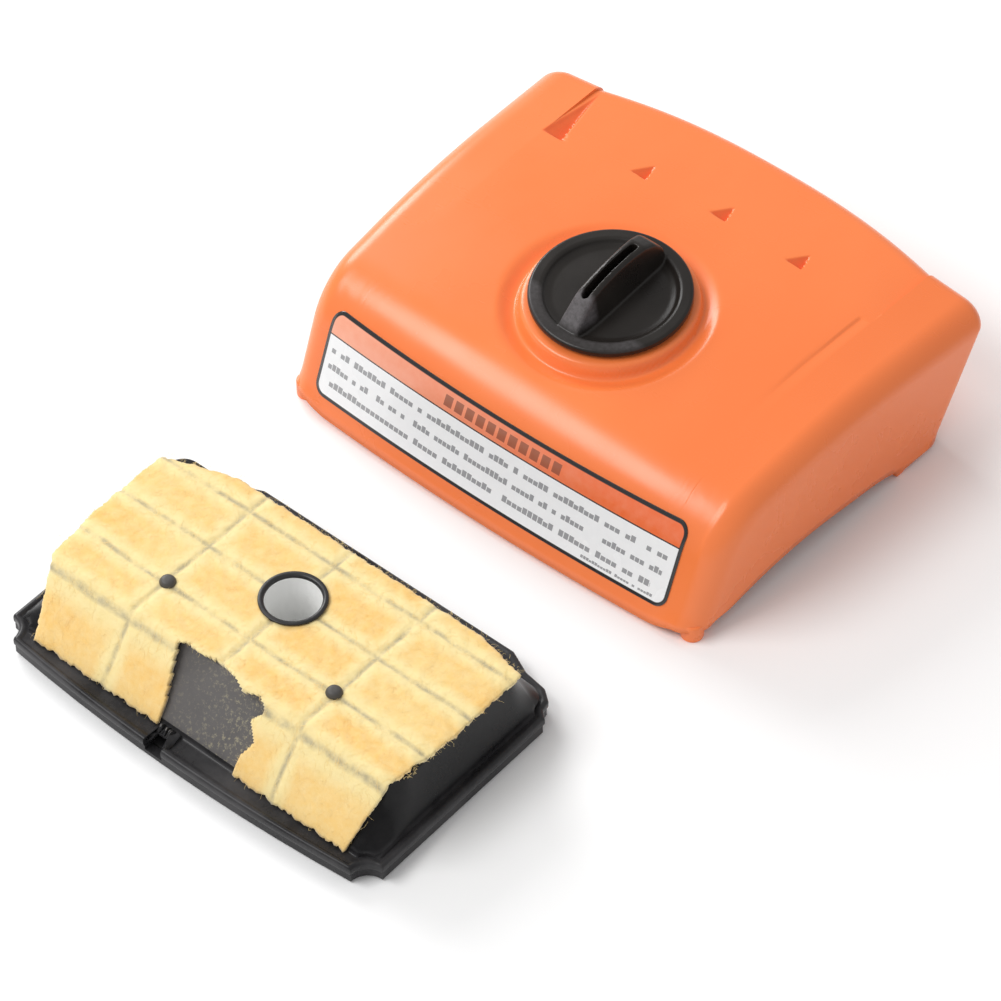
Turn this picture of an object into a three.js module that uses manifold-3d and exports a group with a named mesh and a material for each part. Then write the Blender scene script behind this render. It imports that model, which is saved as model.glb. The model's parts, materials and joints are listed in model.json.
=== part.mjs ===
// Air filter housing of a small chainsaw: the moulded cover with its twist lock, and the
// two-part filter element that belongs under it, lying in front of the cover.
// Millimetres, +Z up, +X along the long side, +Y towards the back of the cover.
// The origin is on the table under the middle of the laid-out set.
import * as THREE from "three";
import { mergeVertices } from "three/addons/utils/BufferGeometryUtils.js";
import Module from "manifold-3d";

// Cover
const RIM_Z = 1.6; // lower edge of the walls above the table
const WALL = 2.2;
const FRONT_HALF_WIDTH = 60.9;
const SIDE_FLARE = 0.05; // half width gained per millimetre towards the back
const FRONT_FOOT_Y = -4.9;
const FRONT_LEAN = 0.4; // how far the front face runs back for each millimetre of height
const DECK_FRONT_Z = 31.4;
const DECK_PEAK = { y: 52, z: 36 };
const DECK_BACK = { y: 103.2, z: 34 };
const BACK_FOOT_Y = 86.2;
const FRONT_ROUND = 20;
const BACK_ROUND = 4.5;
const DECK_ROUND = 260; // the deck is gently arched from front to back
const EDGE_ROUND = 5.5; // rounding between the deck and the side faces
const FRONT_BOW = 2.4; // how far the middle of the front stands forward of its corners
const BACK_BOW = 5.4; // how far the middle of the back stands behind the steps
const STEP_X = 47.5; // the deck and the back edge are bowed between these
const REAR_DIP = 0.8; // the bowed part of the deck lies this much lower at its back edge
const CROWN = 2; // middle of the deck above its sides
const BACK_CORNER_DROP = 1.6;
const ARCH = { y0: 4, y1: 68, height: 4.8 };
const DENT = { x: 1.2, pitch: 23, y: 80, width: 4.8, length: 5.4, depth: 1.3, sag: 0.9 };
const WEDGE = { left: -49.4, right: -43.2, y: 77, tip: [-47.8, 97], depth: 1.7 };
const LEDGE = { front: [44.4, 28], back: [46.2, 76], width: 6, depth: 0.5 };
const FRONT_FOOT = { x: 57.6, y: 2, radius: 3.2 };
const REAR_TAB = { y: 69.4, length: 3.2, thickness: 1.8 };
const LABEL = { length: 105, z0: 6, z1: 26.8, thickness: 0.35, corner: 3, offset: -0.8 };

// Twist lock, measured along its own axis from the top face of the knob's rim
const LOCK_Y = 42.4;
const LOCK_Z = 40.8;
const LOCK_TILT = THREE.MathUtils.degToRad(4);
const KNOB_RADIUS = 19.05;
const KNOB_RIM = 2.2;
const DISH_RADIUS = 15.9;
const BOSS_TOP = -2.7;
const BOSS_RADIUS = 20.6;
const BOSS_FLOOR = -5.2;
const BUSHING_HOLE = 8;
const BUSHING_FLANGE = { width: 2, thickness: 1 };
const SEAL = { inner: 12, outer: 15.5, depth: 1 };
const WASHER = { inner: 6.3, outer: 9.4, z: -7.4, thickness: 0.4, wave: 0.35, waves: 3 };
const HUB_RADIUS = 5.7;
const HUB_END = -11;
const BORE_END = -1.9; // blind end of the knob's bore
const CLIP_GROOVE = { top: -8.3, depth: 0.9, width: 1.2 };
const CLIP = { radius: 8.9, thickness: 0.6, halfMouth: 3.2 };
const GRIP_SLOT = { front: -8.6, back: 8.2, halfWidth: 0.9, floor: 2.2 };
const SPINDLE_RADIUS = 3.9;
const SPINDLE_END = -37;
const PIN_AT = -33;
const PIN_RADIUS = 1.5;
const PIN_HALF_LENGTH = 6.1;

// Filter element, in its own frame at the middle of its flange
const FILTER_AT = new THREE.Vector3(-3.9, -65.3, 0);
const FLANGE = { halfX: 55, front: -34.9, back: 34.2, bow: 2.6, notch: 4.8 };
// Steps of the flange's back corners: distances from its side and from its back
const BACK_CORNER = [[0, 10.4], [2, 8.6], [2.6, 6], [5.4, 3.8], [11.6, 2.8], [17.6, 0]];
const LOWER_Z = { bottom: 0.5, top: 2.7 };
const UPPER_Z = { bottom: 3.0, top: 4.9 };
const DOME_TOP = 20;
const DOME_FOOT = { halfX: 52.6, front: -31, back: 28.6, corner: 4 };
const DOME_CROWN = { halfX: 50.6, front: -20.2, back: 21.4, corner: 4.5 };
const DOME_WALL = 1.8;
const RIB_WINDOW = { halfX: 8, halfY: 5.4, columns: [-40, -20.5, 20.5, 40], rows: [-14.2, 0, 14.2] };
const FELT_GAP = 0.3;
const FELT_THICKNESS = 1.5;
const HOLE = { y: 3.4, radius: 6.4 };
const SLEEVE = { bottom: 0.8, radius: 7.3, collar: 9.4, lip: 7.6, hole: 7.6 };
const RIVET = { x: 24.5, y: -10.6, head: 2.25, shank: 1.2, tail: 2.4 };
const RIVET_WASHER = { radius: 3.4, thickness: 1.2 };
const PRY_SLOT = { x0: -8, x1: -3, depth: 2.4, z: 1.6 };
const SPIGOT = { wall: 1.4, top: 7.4 }; // the lower frame's wall inside the upper one
const GASKET = { outer: 2.9, inner: 5.9, thickness: 1.5 }; // insets from the flange's edge
const INTAKE = { x: -29, y: 3, radius: 12.4 };
const COLLAR = { bore: 10.2, lowerLip: 14, upperLip: 13.8, lip: 1.3 };
const SCREEN = { z0: 1.6, z1: 2.4, rim: 1.2, slots: [-6, -3, 0, 3, 6], halfSlot: 0.8, halfBar: 0.6 };
const LOWER_WINDOW = { x0: 15, x1: 43, y0: -17, y1: 20 };
const WINDOW_BAR = 1; // half width of the bars across the lower window
const LOWER_PAD = { overlap: 2.5, thickness: 1.3 };
const FIT = 0.3; // clearance between pieces that touch

// Moves the laid-out set so that its middle stands over the origin
const SET_AT = new THREE.Vector3(0, -1.544, 0);

const wasm = await Module();
wasm.setup();

function solidOf(geometry) {
  const bare = geometry.clone();
  bare.deleteAttribute("normal");
  bare.deleteAttribute("uv");
  const merged = mergeVertices(bare, 1e-4);
  const mesh = new wasm.Mesh({
    numProp: 3,
    vertProperties: merged.attributes.position.array,
    triVerts: new Uint32Array(merged.index.array),
  });
  return new wasm.Manifold(mesh);
}

function geometryOf(solid) {
  const mesh = solid.getMesh();
  const geometry = new THREE.BufferGeometry();
  geometry.setAttribute("position", new THREE.BufferAttribute(mesh.vertProperties, 3));
  geometry.setIndex(new THREE.BufferAttribute(mesh.triVerts, 1));
  const flat = geometry.toNonIndexed();
  flat.computeVertexNormals();
  return flat;
}

// A closed skin through rings of equal length, each end closed by a fan round its middle.
function loft(rings) {
  const count = rings[0].length;
  const ends = [rings[0], rings.at(-1)].map((ring) => {
    const sum = ring.reduce((total, p) => total.add(p), new THREE.Vector3());
    return sum.divideScalar(count);
  });
  const points = [...rings.flat(), ...ends];
  const triangles = [];
  for (let r = 0; r + 1 < rings.length; r += 1) {
    for (let i = 0; i < count; i += 1) {
      const j = (i + 1) % count;
      const a = r * count + i;
      const b = r * count + j;
      triangles.push([a, b, b + count], [a, b + count, a + count]);
    }
  }
  const last = (rings.length - 1) * count;
  const middle = rings.length * count;
  for (let i = 0; i < count; i += 1) {
    const j = (i + 1) % count;
    triangles.push([middle, j, i], [middle + 1, last + i, last + j]);
  }
  return outward(points, triangles);
}

// The solid inside a closed skin, whichever way its triangles are wound.
function outward(points, triangles) {
  const solid = solidOf(indexed(points, triangles));
  if (solid.volume() > 0) return solid;
  return solidOf(indexed(points, triangles.map(([a, b, c]) => [a, c, b])));
}

function indexed(points, triangles) {
  const geometry = new THREE.BufferGeometry().setFromPoints(points);
  geometry.setIndex(triangles.flat());
  return geometry;
}

// A prism over a plan outline, from z0 up to z1.
function prism(shape, z0, z1, steps = 12) {
  const geometry = new THREE.ExtrudeGeometry(shape, {
    depth: z1 - z0,
    bevelEnabled: false,
    curveSegments: steps,
  });
  return solidOf(geometry.translate(0, 0, z0));
}

function box(x0, x1, y0, y1, z0, z1) {
  const geometry = new THREE.BoxGeometry(x1 - x0, y1 - y0, z1 - z0);
  return solidOf(geometry.translate((x0 + x1) / 2, (y0 + y1) / 2, (z0 + z1) / 2));
}

// A solid of revolution about +Z from (radius, z) pairs; the profile closes on itself.
function turned(pairs, segments = 48) {
  const points = pairs.map(([r, z]) => new THREE.Vector2(r, z));
  const outward = THREE.ShapeUtils.area(points) > 0 ? points : points.reverse();
  outward.push(outward[0].clone());
  return solidOf(new THREE.LatheGeometry(outward, segments).rotateX(Math.PI / 2));
}

function disc(radius, z0, z1, segments = 48) {
  return turned([[0, z0], [radius, z0], [radius, z1], [0, z1]], segments);
}

function ring(inner, outer, z0, z1, segments = 48) {
  return turned([[inner, z0], [outer, z0], [outer, z1], [inner, z1]], segments);
}

function moved(solid, x, y, z = 0) {
  const geometry = geometryOf(solid);
  return solidOf(geometry.translate(x, y, z));
}

const lockMatrix = new THREE.Matrix4()
  .makeRotationX(LOCK_TILT)
  .setPosition(0, LOCK_Y, LOCK_Z);

function onLockAxis(solid) {
  const geometry = geometryOf(solid);
  return solidOf(geometry.applyMatrix4(lockMatrix));
}

const group = new THREE.Group();
const layout = new THREE.Group();
const cover = new THREE.Group();
const lock = new THREE.Group();
const lockOnCover = new THREE.Group();
const lowerHalf = new THREE.Group();
const upperHalf = new THREE.Group();
lock.applyMatrix4(lockMatrix);
lockOnCover.applyMatrix4(lockMatrix);
lowerHalf.position.copy(FILTER_AT);
upperHalf.position.copy(FILTER_AT);
layout.position.copy(SET_AT);
layout.add(cover, lock, lockOnCover, lowerHalf, upperHalf);
group.add(layout);

const FINISH = {
  orange: [0xf4793a, 0.32, 0],
  black: [0x232325, 0.42, 0],
  frame: [0x2a282b, 0.5, 0],
  rubber: [0x1b1b1c, 0.8, 0],
  steel: [0xb7babd, 0.35, 1],
  label: [0xf6f4f1, 0.4, 0],
  felt: [0xf4dd96, 0.95, 0],
  brass: [0xc9a65a, 0.35, 1],
  nylon: [0xd9d6cc, 0.6, 0],
};

function add(parent, name, solid, finish) {
  const [color, roughness, metalness] = FINISH[finish];
  const material = new THREE.MeshStandardMaterial({ color, roughness, metalness });
  const mesh = new THREE.Mesh(geometryOf(solid), material);
  mesh.name = name;
  parent.add(mesh);
}

// ---------------------------------------------------------------- cover

const BROW_Y = FRONT_FOOT_Y + FRONT_LEAN * DECK_FRONT_Z;
const halfWidthAt = (y) => FRONT_HALF_WIDTH + SIDE_FLARE * y;

// Corner i of an open polyline rounded to a radius, as points from tangent to tangent.
function rounded(previous, corner, next, radius, steps) {
  const back = previous.clone().sub(corner).normalize();
  const ahead = next.clone().sub(corner).normalize();
  const half = Math.acos(THREE.MathUtils.clamp(back.dot(ahead), -1, 1)) / 2;
  const reach = radius / Math.tan(half);
  const centre = corner
    .clone()
    .add(back.clone().add(ahead).normalize().multiplyScalar(radius / Math.sin(half)));
  const start = corner.clone().addScaledVector(back, reach).sub(centre);
  const end = corner.clone().addScaledVector(ahead, reach).sub(centre);
  const sweep = Math.atan2(start.cross(end), start.dot(end));
  const points = [];
  for (let i = 0; i <= steps; i += 1) {
    const angle = (sweep * i) / steps;
    points.push(start.clone().rotateAround(new THREE.Vector2(), angle).add(centre));
  }
  return points;
}

// The line through p and q moved sideways by `distance` to its right.
function shifted(p, q, distance) {
  const along = q.clone().sub(p).normalize();
  const side = new THREE.Vector2(along.y, -along.x).multiplyScalar(distance);
  return [p.clone().add(side), q.clone().add(side)];
}

function meet([a, b], [c, d]) {
  const u = b.clone().sub(a);
  const v = d.clone().sub(c);
  const t = c.clone().sub(a).cross(v) / u.cross(v);
  return a.clone().addScaledVector(u, t);
}

// Side view of the cover (y, z), set in by `inset` from its front, deck and back.
function coverProfile(inset, bottom, drop) {
  const foot = new THREE.Vector2(FRONT_FOOT_Y, 0);
  const brow = new THREE.Vector2(BROW_Y, DECK_FRONT_Z);
  const peak = new THREE.Vector2(DECK_PEAK.y, DECK_PEAK.z);
  const rear = new THREE.Vector2(DECK_BACK.y, DECK_BACK.z - drop);
  const heel = new THREE.Vector2(BACK_FOOT_Y, 0);
  const face = shifted(foot, brow, inset);
  const deck = shifted(brow, peak, inset);
  const slope = shifted(peak, rear, inset);
  const back = shifted(rear, heel, inset);
  const floor = [new THREE.Vector2(0, bottom), new THREE.Vector2(1, bottom)];
  const p0 = meet(face, floor);
  const p1 = meet(face, deck);
  const p2 = meet(deck, slope);
  const p3 = meet(slope, back);
  const p4 = meet(back, floor);
  return [
    p0,
    ...rounded(p0, p1, p2, Math.max(FRONT_ROUND - inset, 1), 8),
    ...rounded(p1, p2, p3, DECK_ROUND, 4),
    p2.clone().lerp(p3, 0.55), // the back of the deck dips from here on
    ...rounded(p2, p3, p4, Math.max(BACK_ROUND - inset, 0.6), 5),
    p4,
  ];
}

// How far a point of the profile moves when the plan is bowed and the deck crowned.
function bowed(y, z, x) {
  const across = x / halfWidthAt(y);
  const forward = 1 - THREE.MathUtils.smoothstep(y, 0, 60);
  const rearward = THREE.MathUtils.smoothstep(y, 60, DECK_BACK.y);
  const inArc = Math.max(0, 1 - Math.abs(x / STEP_X) ** 2.6);
  const lift = THREE.MathUtils.smoothstep(z, 8, 30) * CROWN * (1 - across ** 2);
  const dip = Math.abs(x) > STEP_X ? 0 : REAR_DIP * THREE.MathUtils.smoothstep(y, 76, 98);
  return {
    y: y + FRONT_BOW * forward * across ** 2 + BACK_BOW * rearward * inArc,
    z: z + lift - dip,
  };
}

function coverRing(x, inset, bottom) {
  const outer = Math.abs(x) > STEP_X;
  const drop = outer ? BACK_CORNER_DROP * ((Math.abs(x) - STEP_X) / 14) : 0;
  return coverProfile(inset, bottom, drop).map((p) => {
    const b = bowed(p.x, p.y, x);
    const flare = (Math.abs(x) / FRONT_HALF_WIDTH) ** 4 * SIDE_FLARE * b.y;
    return new THREE.Vector3(x + Math.sign(x) * flare, b.y, b.z);
  });
}

function coverSolid(half, base, bottom, edge) {
  const inner = [0, 12, 24, 36, STEP_X, STEP_X + 0.5];
  const rings = inner.filter((x) => x < half - edge - 0.5).map((x) => [x, base]);
  const steps = edge > 1 ? 5 : 1;
  for (let i = 0; i <= steps; i += 1) {
    const angle = ((Math.PI / 2) * i) / steps;
    rings.push([half - edge * (1 - Math.sin(angle)), base + edge * (1 - Math.cos(angle))]);
  }
  const both = [...rings.slice(1).reverse().map(([x, inset]) => [-x, inset]), ...rings];
  return loft(both.map(([x, inset]) => coverRing(x, inset, bottom)));
}

const bossProfile = [
  [0, BOSS_TOP],
  [BOSS_RADIUS - 0.5, BOSS_TOP],
  [BOSS_RADIUS, BOSS_TOP - 0.4],
  [BOSS_RADIUS + 0.6, BOSS_TOP - 2.2],
  [BOSS_RADIUS + 1.6, BOSS_TOP - 4.4],
  [BOSS_RADIUS + 3.4, BOSS_TOP - 6.2],
  [BOSS_RADIUS + 6.2, BOSS_TOP - 7.4],
  [BOSS_RADIUS + 9, BOSS_TOP - 8],
  [0, BOSS_TOP - 10],
];

function archCutter() {
  const shape = new THREE.Shape();
  const middle = (ARCH.y0 + ARCH.y1) / 2;
  shape.moveTo(ARCH.y0, RIM_Z - 1);
  shape.lineTo(ARCH.y0, RIM_Z);
  shape.quadraticCurveTo(middle, RIM_Z + 2 * ARCH.height, ARCH.y1, RIM_Z);
  shape.lineTo(ARCH.y1, RIM_Z - 1);
  const span = 160;
  const geometry = new THREE.ExtrudeGeometry(shape, {
    depth: span,
    bevelEnabled: false,
    curveSegments: 12,
  });
  geometry.applyMatrix4(
    new THREE.Matrix4().makeBasis(
      new THREE.Vector3(0, 1, 0),
      new THREE.Vector3(0, 0, 1),
      new THREE.Vector3(1, 0, 0),
    ),
  );
  return solidOf(geometry.translate(-span / 2, 0, 0));
}

// Height of the deck's outer surface, close to its middle line and its shoulders.
function deckTop(x, y) {
  const slope = (DECK_BACK.z - DECK_PEAK.z) / (DECK_BACK.y - DECK_PEAK.y);
  const rise = (DECK_PEAK.z - DECK_FRONT_Z) / (DECK_PEAK.y - BROW_Y);
  const away = y - DECK_PEAK.y;
  return bowed(y, DECK_PEAK.z + away * (away > 0 ? slope : rise), x).z;
}

// A three-cornered dent in the deck: its floor slopes from the side a-c down to its lowest
// point at b, `depth` below the surface.
function dent(a, b, c, depth) {
  const above = 3;
  const skin = 0.05;
  const over = ([x, y], up) => new THREE.Vector3(x, y, deckTop(x, y) + up);
  const points = [
    over(a, above),
    over(b, above),
    over(c, above),
    over(a, -skin),
    over(b, -depth),
    over(c, -skin),
  ];
  const faces = [
    [0, 1, 2], [3, 5, 4], [0, 3, 4], [0, 4, 1], [1, 4, 5], [1, 5, 2], [2, 5, 3], [2, 3, 0],
  ];
  return outward(points, faces);
}

function buildCover() {
  const boss = onLockAxis(turned(bossProfile, 52));
  let shell = coverSolid(FRONT_HALF_WIDTH, 0, RIM_Z, EDGE_ROUND).add(boss);
  const cavity = coverSolid(FRONT_HALF_WIDTH - WALL, WALL, RIM_Z - 2, 1);
  const bossHollow = disc(BOSS_RADIUS - 3, BOSS_TOP - 13, BOSS_FLOOR, 40);
  const spindleHole = disc(BUSHING_HOLE, BOSS_FLOOR - 3, BOSS_TOP + 2);
  const sealGroove = ring(SEAL.inner - FIT, SEAL.outer + FIT, BOSS_TOP - SEAL.depth, BOSS_TOP + 1);
  shell = shell.subtract(cavity).subtract(onLockAxis(bossHollow));
  shell = shell.subtract(onLockAxis(spindleHole)).subtract(onLockAxis(sealGroove));
  shell = shell.subtract(archCutter());
  // a row of three small dents
  for (const place of [-1, 0, 1]) {
    const x = DENT.x + place * DENT.pitch;
    const y = DENT.y - DENT.sag * Math.abs(place);
    const left = [x - DENT.width / 2, y];
    const right = [x + DENT.width / 2, y];
    shell = shell.subtract(dent(left, right, [x + DENT.width / 4, y + DENT.length], DENT.depth));
  }
  shell = shell.subtract(dent([WEDGE.left, WEDGE.y], [WEDGE.right, WEDGE.y], WEDGE.tip, WEDGE.depth));
  const beside = [LEDGE.back[0] + LEDGE.width, LEDGE.back[1]];
  shell = shell.subtract(dent(beside, LEDGE.back, LEDGE.front, LEDGE.depth));
  for (const side of [-1, 1]) {
    const foot = moved(disc(FRONT_FOOT.radius, 0, RIM_Z + 3, 24), side * FRONT_FOOT.x, FRONT_FOOT.y);
    const wall = side * (halfWidthAt(REAR_TAB.y) - WALL / 2);
    const half = REAR_TAB.thickness / 2;
    const tab = box(wall - half, wall + half, REAR_TAB.y, REAR_TAB.y + REAR_TAB.length, 0, RIM_Z + 2.5);
    shell = shell.add(foot).add(tab);
  }
  return shell;
}

add(cover, "cover_shell", buildCover(), "orange");

// Sticker that follows the front face: two copies of the cover's outer surface, a little
// apart, keep only what lies between them and inside the sticker's outline.
function buildLabel() {
  const under = coverSolid(FRONT_HALF_WIDTH + FIT, -FIT, RIM_Z, EDGE_ROUND);
  const reach = FIT + LABEL.thickness;
  const over = coverSolid(FRONT_HALF_WIDTH + reach, -reach, RIM_Z, EDGE_ROUND);
  const half = LABEL.length / 2;
  const outline = roundedRect(half, LABEL.z0, LABEL.z1, LABEL.corner);
  const geometry = new THREE.ExtrudeGeometry(outline, {
    depth: 60,
    bevelEnabled: false,
    curveSegments: 5,
  });
  geometry.rotateX(Math.PI / 2).translate(LABEL.offset, 30, 0);
  return over.subtract(under).intersect(solidOf(geometry));
}

function roundedRect(halfX, y0, y1, r) {
  const shape = new THREE.Shape();
  shape.moveTo(-halfX + r, y0);
  shape.lineTo(halfX - r, y0);
  shape.absarc(halfX - r, y0 + r, r, -Math.PI / 2, 0, false);
  shape.lineTo(halfX, y1 - r);
  shape.absarc(halfX - r, y1 - r, r, 0, Math.PI / 2, false);
  shape.lineTo(-halfX + r, y1);
  shape.absarc(-halfX + r, y1 - r, r, Math.PI / 2, Math.PI, false);
  shape.lineTo(-halfX, y0 + r);
  shape.absarc(-halfX + r, y0 + r, r, Math.PI, Math.PI * 1.5, false);
  return shape;
}

add(cover, "front_label", buildLabel(), "label");

// ---------------------------------------------------------------- twist lock

const BUSHING_OUTER = BUSHING_HOLE - FIT;
const BUSHING_INNER = HUB_RADIUS + FIT;
const bushing = turned([
  [BUSHING_INNER, BOSS_FLOOR - FIT - BUSHING_FLANGE.thickness],
  [BUSHING_OUTER + BUSHING_FLANGE.width, BOSS_FLOOR - FIT - BUSHING_FLANGE.thickness],
  [BUSHING_OUTER + BUSHING_FLANGE.width, BOSS_FLOOR - FIT],
  [BUSHING_OUTER, BOSS_FLOOR - FIT],
  [BUSHING_OUTER, BOSS_TOP],
  [BUSHING_INNER, BOSS_TOP],
], 36);
const sealRing = ring(SEAL.inner, SEAL.outer, BOSS_TOP - SEAL.depth + FIT, BOSS_TOP + 0.1, 36);
add(lockOnCover, "lock_bushing", bushing, "nylon");
add(lockOnCover, "lock_seal_ring", sealRing, "rubber");

// Spring washer with low waves round its ring.
function waveWasher({ inner, outer, z: middle, thickness, wave, waves }) {
  const around = 36;
  const rings = [];
  for (let i = 0; i < around; i += 1) {
    const angle = (2 * Math.PI * i) / around;
    const z = middle + wave * Math.cos(waves * angle);
    const at = (r, h) => new THREE.Vector3(r * Math.cos(angle), r * Math.sin(angle), h);
    rings.push([
      at(inner, z - thickness / 2),
      at(outer, z - thickness / 2),
      at(outer, z + thickness / 2),
      at(inner, z + thickness / 2),
    ]);
  }
  return closedLoop(rings);
}

// A closed skin round a loop of rings, the last joined to the first.
function closedLoop(rings) {
  const count = rings[0].length;
  const triangles = [];
  for (let r = 0; r < rings.length; r += 1) {
    const next = ((r + 1) % rings.length) * count;
    for (let i = 0; i < count; i += 1) {
      const j = (i + 1) % count;
      triangles.push([r * count + i, next + j, r * count + j]);
      triangles.push([r * count + i, next + i, next + j]);
    }
  }
  return outward(rings.flat(), triangles);
}

add(lockOnCover, "lock_wave_washer", waveWasher(WASHER), "steel");

function buildKnob() {
  const { top: grooveTop, depth, width } = CLIP_GROOVE;
  const body = turned([
    [0, -1.2],
    [DISH_RADIUS - 1.2, -1.4],
    [DISH_RADIUS, -0.5],
    [DISH_RADIUS + 0.5, 0],
    [KNOB_RADIUS - 0.6, 0],
    [KNOB_RADIUS, -0.6],
    [KNOB_RADIUS, -KNOB_RIM + 0.3],
    [KNOB_RADIUS - 0.5, -KNOB_RIM],
    [HUB_RADIUS, -KNOB_RIM],
    [HUB_RADIUS, grooveTop],
    [HUB_RADIUS - depth, grooveTop],
    [HUB_RADIUS - depth, grooveTop - width],
    [HUB_RADIUS, grooveTop - width],
    [HUB_RADIUS, HUB_END],
    [SPINDLE_RADIUS + FIT, HUB_END],
    [SPINDLE_RADIUS + FIT, BORE_END],
    [0, BORE_END],
  ], 48);
  const grip = gripRib();
  const slot = new THREE.Shape();
  slot.absarc(0, GRIP_SLOT.back, GRIP_SLOT.halfWidth, 0, Math.PI, false);
  slot.absarc(0, GRIP_SLOT.front, GRIP_SLOT.halfWidth, Math.PI, 2 * Math.PI, false);
  return body.add(grip).subtract(prism(slot, GRIP_SLOT.floor, 12, 6));
}

// The grip: a ridge across the knob, its walls leaning in, with a flat ramp at its front.
// Each row of the crest gives y, the height, and the half widths at the top and at the base.
function gripRib() {
  const crest = [
    [-15.9, -0.4, 2.8, 2.9],
    [-15.2, 0.4, 2.7, 3.0],
    [-12.4, 3.0, 2.5, 3.4],
    [-9.6, 5.5, 2.3, 3.7],
    [-8.2, 6.3, 2.2, 3.8],
    [-4, 7.1, 2.2, 3.9],
    [1, 7.6, 2.2, 3.9],
    [6, 7.5, 2.3, 3.9],
    [10, 7.0, 2.5, 3.8],
    [13.2, 5.6, 2.9, 3.8],
    [15.2, 3.2, 3.3, 3.7],
    [16.2, -0.4, 3.5, 3.6],
  ];
  const rings = crest.map(([y, z, top, base]) => [
    new THREE.Vector3(-base, y, -1.6),
    new THREE.Vector3(base, y, -1.6),
    new THREE.Vector3(top, y, Math.max(z - 0.5, -0.9)),
    new THREE.Vector3(top - 0.6, y, z),
    new THREE.Vector3(0.6 - top, y, z),
    new THREE.Vector3(-top, y, Math.max(z - 0.5, -0.9)),
  ]);
  return loft(rings);
}

add(lock, "twist_knob", buildKnob(), "black");

const spindle = turned([
  [0, SPINDLE_END],
  [SPINDLE_RADIUS - 1.2, SPINDLE_END],
  [SPINDLE_RADIUS, SPINDLE_END + 1.6],
  [SPINDLE_RADIUS, BORE_END - FIT],
  [0, BORE_END - FIT],
], 40);

function acrossRod(radius, halfLength, z) {
  const rod = new THREE.CylinderGeometry(radius, radius, 2 * halfLength, 20);
  return solidOf(rod.rotateZ(Math.PI / 2).translate(0, 0, z));
}

const pinHole = acrossRod(PIN_RADIUS + FIT, 2 * SPINDLE_RADIUS, PIN_AT);
add(lock, "lock_spindle", spindle.subtract(pinHole), "nylon");
add(lock, "bayonet_pin", acrossRod(PIN_RADIUS, PIN_HALF_LENGTH, PIN_AT), "steel");

// Open retaining clip that snaps into the groove of the hub.
function retainingClip() {
  const top = CLIP_GROOVE.top - FIT;
  const inner = HUB_RADIUS - CLIP_GROOVE.depth + FIT;
  const plate = ring(inner, CLIP.radius, top - CLIP.thickness, top, 40);
  const mouth = box(-CLIP.halfMouth, CLIP.halfMouth, 0, 2 * CLIP.radius, top - 2, top + 2);
  return plate.subtract(mouth);
}

add(lock, "lock_retaining_clip", retainingClip(), "steel");

// ---------------------------------------------------------------- filter element

// Plan of the flange: bowed at the front, with a hollow notch at each corner.
function flangeOutline(inset, bowSteps = 10) {
  const hx = FLANGE.halfX - inset;
  const n = FLANGE.notch;
  const shape = new THREE.Shape();
  const front = FLANGE.front + inset;
  const back = FLANGE.back - inset;
  shape.moveTo(-hx + n, front);
  for (let i = 1; i <= bowSteps; i += 1) {
    const t = (2 * i) / bowSteps - 1;
    shape.lineTo(t * (hx - n), front - FLANGE.bow * (1 - t * t));
  }
  shape.absarc(hx, front, n, Math.PI, Math.PI / 2, true);
  BACK_CORNER.forEach(([x, y]) => shape.lineTo(hx - x, back - y));
  BACK_CORNER.toReversed().forEach(([x, y]) => shape.lineTo(x - hx, back - y));
  shape.lineTo(-hx, front + n);
  shape.absarc(-hx, front, n, Math.PI / 2, 0, true);
  return shape;
}

const corners = (halfX, y0, y1, r, z, steps = 4) => {
  const points = [];
  const arc = (cx, cy, from) => {
    for (let i = 0; i <= steps; i += 1) {
      const angle = from + ((Math.PI / 2) * i) / steps;
      points.push(new THREE.Vector3(cx + r * Math.cos(angle), cy + r * Math.sin(angle), z));
    }
  };
  arc(halfX - r, y0 + r, -Math.PI / 2);
  arc(halfX - r, y1 - r, 0);
  arc(-halfX + r, y1 - r, Math.PI / 2);
  arc(-halfX + r, y0 + r, Math.PI);
  return points;
};

// The raised part of the element, grown outwards by `grow` on every face.
function dome(grow, floor) {
  const { halfX: fx, front: ff, back: fb, corner: fr } = DOME_FOOT;
  const { halfX: cx, front: cf, back: cb, corner: cr } = DOME_CROWN;
  const ease = 1.4;
  const top = DOME_TOP + grow;
  const share = (floor - UPPER_Z.top) / (DOME_TOP - UPPER_Z.top);
  const low = (a, b) => a + (b - a) * share;
  return loft([
    corners(low(fx, cx) + grow, low(ff, cf) - grow, low(fb, cb) + grow, fr + grow, floor),
    corners(cx + grow, cf - grow, cb + grow, cr + grow, top - ease),
    corners(cx + grow - 0.4 * ease, cf - grow + 0.4 * ease, cb + grow - 0.4 * ease, cr, top - 0.4 * ease),
    corners(cx + grow - ease, cf - grow + ease, cb + grow - ease, cr - 0.5, top),
  ]);
}

// Slot at the front of both flanges, where a blade parts the two halves.
function prySlot() {
  const { x0, x1, depth, z } = PRY_SLOT;
  return box(x0, x1, FLANGE.front - FLANGE.bow - 1, FLANGE.front + depth, z, UPPER_Z.top + 0.1);
}

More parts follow.
